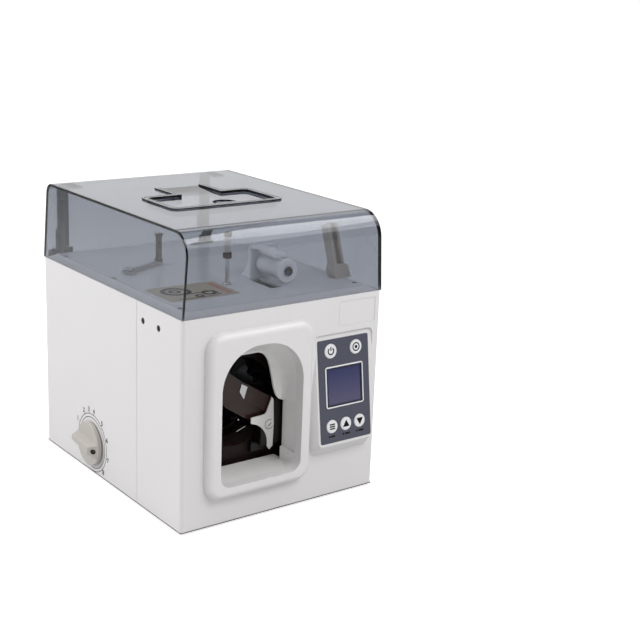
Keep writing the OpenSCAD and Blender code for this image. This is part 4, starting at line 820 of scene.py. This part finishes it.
# lengths along the knob's own axis start at its back face; over is how far a cutting block reaches past it
knob = {"radius": 23.4, "skirt": 4.6, "skirtEdge": 1.0, "top": 12.4, "gap": 1.0, "turn": -7, "reach": 23.0,
        "foot": 7.4, "land": 3.4, "flare": 1.2, "pinch": 0.85, "noseBack": 9.0, "tailBack": 2.0, "sunk": 1.5,
        "gripEdge": 0.9, "edgeSteps": 3, "trim": 0.3, "over": 5, "soft": 40,
        "dimple": {"along": 18.4, "out": 7.7, "radius": 2.9, "slope": 44, "depth": 1.6, "lip": 0.6,
                   "near": 0.02, "sides": 40}}


def combine(piece, other, way):
    useModifier(piece, "BOOLEAN", object=other, operation=way, solver="EXACT")
    bpy.data.objects.remove(other)


def roundBlock(name, radius, low, high, sides=96):
    bpy.ops.mesh.primitive_cylinder_add(vertices=sides, radius=radius / 1000, depth=(high - low) / 1000,
                                        location=(0, 0, (high + low) / 2000))
    piece = newPiece(name)
    fixPlace(piece)
    return piece


# the grip narrows upwards and towards its tail, and its nose slopes down
def makeGrip(look):
    low, high = look["skirt"] - look["sunk"], look["top"]
    middle = (high + low) / 2000
    bpy.ops.mesh.primitive_cube_add(size=1, location=(0, 0, middle))
    grip = newPiece("knobGrip")
    grip.scale = (2 * look["reach"] / 1000, 2 * look["foot"] / 1000, (high - low) / 1000)
    fixPlace(grip)
    editSelected(grip, "VERT", lambda v: v.co.z > middle)
    bpy.ops.transform.resize(value=(1, look["land"] / look["foot"], 1), center_override=(0, 0, 0))
    leaveEdit()
    for end, share in ((1, look["flare"]), (-1, look["pinch"])):
        editSelected(grip, "VERT", lambda v: v.co.x * end > 0)
        bpy.ops.transform.resize(value=(1, share, 1), center_override=(0, 0, 0))
        leaveEdit()
    for end, back in ((1, look["noseBack"]), (-1, look["tailBack"])):
        editSelected(grip, "VERT", lambda v: v.co.x * end > 0 and v.co.z > middle)
        bpy.ops.transform.translate(value=(-end * back / 1000, 0, 0))
        leaveEdit()
    roundEdges(grip, look["gripEdge"], look["edgeSteps"])
    combine(grip, roundBlock("knobEdge", look["radius"] - look["trim"], 0, high + look["over"]), "INTERSECT")
    return grip


def makeKnob(look):
    piece = roundBlock("tensionKnob", look["radius"], 0, look["skirt"])
    roundEdges(piece, look["skirtEdge"], look["edgeSteps"])
    combine(piece, makeGrip(look), "UNION")
    dimple = look["dimple"]
    slope, radius = math.radians(dimple["slope"]), dimple["radius"]
    middle = Vector((dimple["along"] / 1000, 0, dimple["out"] / 1000))
    drill = roundBlock("knobDrill", radius, -dimple["depth"], look["over"], dimple["sides"])
    putAt(drill, Matrix.Translation(middle) @ Matrix.Rotation(slope, 4, "Y"))
    combine(piece, drill, "DIFFERENCE")
    tidyMesh(piece)
    smoothPiece(piece, look["soft"])
    giveMaterial(piece, knobIvory)
    # painted shade: the dimple's walls deeper than its lip take the dark umber, standing in for the shade
    # inside the hole
    axis = Vector((math.sin(slope), 0, math.cos(slope)))
    reach = (radius + dimple["near"]) / 1000

    def inside(spot):
        deep = (spot - middle).dot(axis)
        return deep < -dimple["lip"] / 1000 and (spot - middle - deep * axis).length < reach

    partFinish(piece, umberPlastic, inside)
    putAt(piece, onSide(0, 0, look["gap"]) @ Matrix.Rotation(math.radians(look["turn"]), 4, "Z"))
    dressPiece(piece, "tension_knob", slotOf["tension_knob"], "tension_knob")


makeKnob(knob)
print("dial and knob made")

# the tray's outline on the lid, and along its bead the dark lines, painted shade for the bead's edges, and
# the light core, a painted highlight along its top, each at its distance inside that outline
tray = {"left": 48.0, "right": 178.0, "front": 97.0, "back": 165.0, "stemLeft": 88.0, "stemRight": 147.0,
        "stemEnd": 203.0, "corner": 9.0}
beadShadeAndHighlight = {"insets": (0.1, 5.7), "z": 289.3, "radius": 0.55, "turns": 6, "core": 3.0, "highlightRadius": 0.6}


def trayPath(inset, z, turns):
    r = tray["corner"] - inset / 2
    left, right = tray["left"] + inset, tray["right"] - inset
    front, back = tray["front"] + inset, tray["back"] - inset
    points = [(tray["stemLeft"] + inset, tray["stemEnd"], z), (tray["stemLeft"] + inset, back, z)]
    for x, y, start in ((left + r, back - r, 90), (left + r, front + r, 180), (right - r, front + r, 270),
                        (right - r, back - r, 0)):
        for step in range(turns + 1):
            angle = math.radians(start + 90 * step / turns)
            points.append((x + r * math.cos(angle), y + r * math.sin(angle), z))
    return points + [(tray["stemRight"] - inset, back, z), (tray["stemRight"] - inset, tray["stemEnd"], z)]


def makeBeadLines(look):
    # dark tubes of painted shade along the bead's edges, which look dark through the clear plastic
    lines = [tubeAlong("line", trayPath(inset, look["z"], look["turns"]), look["radius"])
             for inset in look["insets"]]
    piece = joined("trayBeadShadeLines", lines)
    giveMaterial(piece, inkBlack)
    dressPiece(piece, "lid", "smoked_clear")
    # a painted highlight along the bead's top, in the sleeve's white
    core = tubeAlong("trayBeadHighlight", trayPath(look["core"], look["z"], look["turns"]), look["highlightRadius"])
    giveMaterial(core, sleeveWhite)
    dressPiece(core, "lid", "smoked_clear")


makeBeadLines(beadShadeAndHighlight)

# threading picture on the deck: rings as x, y, radius, width and steps, bars as x, y, width and height
deckLabel = {"left": 18.0, "right": 92.0, "front": 46.0, "back": 98.0, "z": 214.0, "thick": 0.12,
             "sink": 0.02, "corner": 2.0, "ink": 0.06,
             "rings": {"reelRing": (40, 78, 9.6, 4.4, 120), "coreRing": (40, 78, 3.0, 3.2, 120),
                       "guideRing": (66, 62, 4.2, 3.4, 40), "rollerRing": (52, 56, 2.0, 2.6, 40)},
             "bars": {"tapeLine": (59, 66, 30.0, 1.8), "tapeDrop": (73, 59, 1.8, 14.0),
                      "groundLine": (50, 51, 40.0, 1.6)},
             "rules": [(83.0, 72, 1.5, 40.0), (86.5, 72, 1.5, 40.0)]}


def onDeck(x, y, z):
    return basis(at(x, y, z), (1, 0, 0), (0, 1, 0))


def makeDeckLabel(look):
    x, y = (look["left"] + look["right"]) / 2, (look["front"] + look["back"]) / 2
    width, height = look["right"] - look["left"], look["back"] - look["front"]
    sheet = flatBar("deckLabel", width, height, look["thick"] + look["sink"],
                    onDeck(x, y, look["z"] - look["sink"]), look["corner"])
    giveMaterial(sheet, labelBeige)
    dressPiece(sheet, "housing", "deck_plastic")
    low, ink = look["z"] + look["thick"] - look["sink"], look["ink"]
    parts = [arcBand(name, radius, wide, *fullRing, ink, onDeck(x, y, low), steps)
             for name, (x, y, radius, wide, steps) in look["rings"].items()]
    parts += [flatBar(name, wide, high, ink, onDeck(x, y, low))
              for name, (x, y, wide, high) in look["bars"].items()]
    picture = joined("labelPicture", parts)
    giveMaterial(picture, inkBlack)
    dressPiece(picture, "housing", "black_plastic")
    rules = joined("labelRules", [flatBar("rule", wide, high, ink, onDeck(x, y, low))
                                  for x, y, wide, high in look["rules"]])
    giveMaterial(rules, ruleRed)
    dressPiece(rules, "housing", "deck_plastic")


makeDeckLabel(deckLabel)
print("lid and deck detail made")

# place in metres, angles in degrees, lens and sensor in millimetres
viewpoint = {"place": (-0.663093, -1.065996, 0.525699), "turn": 37.59, "tilt": 16.06, "roll": 2.31,
             "lens": 70.784, "sensor": 36}


def placeCamera(look):
    turn, tilt, roll = (math.radians(look[key]) for key in ("turn", "tilt", "roll"))
    ahead = Vector((math.sin(turn) * math.cos(tilt), math.cos(turn) * math.cos(tilt), -math.sin(tilt)))
    right = Vector((math.cos(turn), -math.sin(turn), 0))
    up = right.cross(ahead)
    right, up = math.cos(roll) * right + math.sin(roll) * up, math.cos(roll) * up - math.sin(roll) * right
    x, y, z = look["place"]
    camera = bpy.data.objects.new("camera", bpy.data.cameras.new("camera"))
    bpy.context.scene.collection.objects.link(camera)
    camera.matrix_world = Matrix(((right.x, up.x, -ahead.x, x), (right.y, up.y, -ahead.y, y),
                                  (right.z, up.z, -ahead.z, z), (0, 0, 0, 1)))
    camera.data.lens = look["lens"]
    camera.data.sensor_width = look["sensor"]
    bpy.context.scene.camera = camera


placeCamera(viewpoint)


def softbox(name, place, aim, width, height, power):
    lamp = bpy.data.lights.new(name, "AREA")
    lamp.shape = "RECTANGLE"
    lamp.size, lamp.size_y = width, height
    lamp.energy = power
    holder = bpy.data.objects.new(name, lamp)
    bpy.context.scene.collection.objects.link(holder)
    holder.location = place
    holder.rotation_euler = (Vector(place) - Vector(aim)).to_track_quat("Z", "Y").to_euler()


# place, aim, width and height in metres, and power in watts
softboxes = {
    "keyLamp": [(-1.75, 0.95, 1.25), (0, 0.1, 0.15), 1.1, 1.1, 25.0],
    "frontLamp": [(1.35, -1.05, 1.65), (0, 0, 0.2), 1.4, 1.0, 8.5],
    "fillLamp": [(0.15, -1.35, 1.6), (0, 0, 0.12), 0.9, 0.7, 13.0],
    "topLamp": [(-0.2, 0.5, 2.1), (0, 0, 0.2), 1.3, 1.3, 6.0],
}
for name, row in softboxes.items():
    softbox(name, *row)

# how bright the white world is when seen, as light on the machine, and when mirrored
background = {"seen": 1.0, "cast": 0.54, "mirrored": 0.3}


def whiteWorld(look):
    world = bpy.data.worlds.new("studio")
    bpy.context.scene.world = world
    world.use_nodes = True
    tree = world.node_tree
    tree.nodes.clear()
    output = tree.nodes.new("ShaderNodeOutputWorld")
    seen, cast, mirrored = (addNode(tree, "Background", Color=(1, 1, 1, 1), Strength=look[key]).outputs[0]
                            for key in ("seen", "cast", "mirrored"))
    rays = addNode(tree, "LightPath")
    direct = either(tree, rays.outputs["Is Camera Ray"], rays.outputs["Is Transmission Ray"])
    lit = blend(tree, rays.outputs["Is Glossy Ray"], cast, mirrored)
    tree.links.new(blend(tree, direct, lit, seen), output.inputs["Surface"])


whiteWorld(background)

# lift is the floor's own glow to the camera, which makes it white and keeps the shadow
floorLook = {"size": 30.0, "colour": (0.6, 0.6, 0.6), "roughness": 0.9, "lift": 0.72}


def makeFloor(look):
    bpy.ops.mesh.primitive_plane_add(size=look["size"], location=(0, 0, 0))
    floor = newPiece("floor")
    material, tree, shader = newMaterial("floorPaper")
    shader.inputs["Base Color"].default_value = (*look["colour"], 1)
    shader.inputs["Roughness"].default_value = look["roughness"]
    shader.inputs["Specular IOR Level"].default_value = 0.0
    shader.inputs["Emission Color"].default_value = (1, 1, 1, 1)
    rays = addNode(tree, "LightPath")
    lift = addNode(tree, "Math")
    lift.operation = "MULTIPLY"
    lift.inputs[1].default_value = look["lift"]
    seen = either(tree, rays.outputs["Is Camera Ray"], rays.outputs["Is Transmission Ray"])
    tree.links.new(seen, lift.inputs[0])
    tree.links.new(lift.outputs[0], shader.inputs["Emission Strength"])
    giveMaterial(floor, material)


makeFloor(floorLook)

# white sheets behind and above the machine, seen only where they are mirrored; lengths in metres
mirrorSheets = {
    "backdrop": {"place": (1.9, 2.4, 1.6), "aim": (0, 0, 1.6), "width": 6.0, "height": 3.2, "bright": 1.0},
    "overhead": {"place": (1.0, -0.42, 1.6), "aim": (0, -0.15, 0.28), "width": 1.1, "height": 0.55,
                 "bright": 5.0},
}


def makeSheet(name, look):
    bpy.ops.mesh.primitive_plane_add(size=1)
    sheet = newPiece(name)
    sheet.scale = (look["width"], look["height"], 1)
    fixPlace(sheet)
    spot = Vector(look["place"])
    turn = (spot - Vector(look["aim"])).to_track_quat("Z", "Y").to_matrix().to_4x4()
    putAt(sheet, Matrix.Translation(spot) @ turn)
    material = bpy.data.materials.new(name + "Paper")
    material.use_nodes = True
    tree = material.node_tree
    tree.nodes.clear()
    output = tree.nodes.new("ShaderNodeOutputMaterial")
    glow = addNode(tree, "Emission", Color=(1, 1, 1, 1), Strength=look["bright"])
    clear = addNode(tree, "BsdfTransparent", Color=(1, 1, 1, 1))
    rays = addNode(tree, "LightPath")
    shown = blend(tree, rays.outputs["Is Glossy Ray"], clear.outputs[0], glow.outputs[0])
    tree.links.new(shown, output.inputs["Surface"])
    giveMaterial(sheet, material)


for name, look in mirrorSheets.items():
    makeSheet(name, look)

bpy.context.scene.view_settings.view_transform = "Standard"
print("camera and lamps placed")
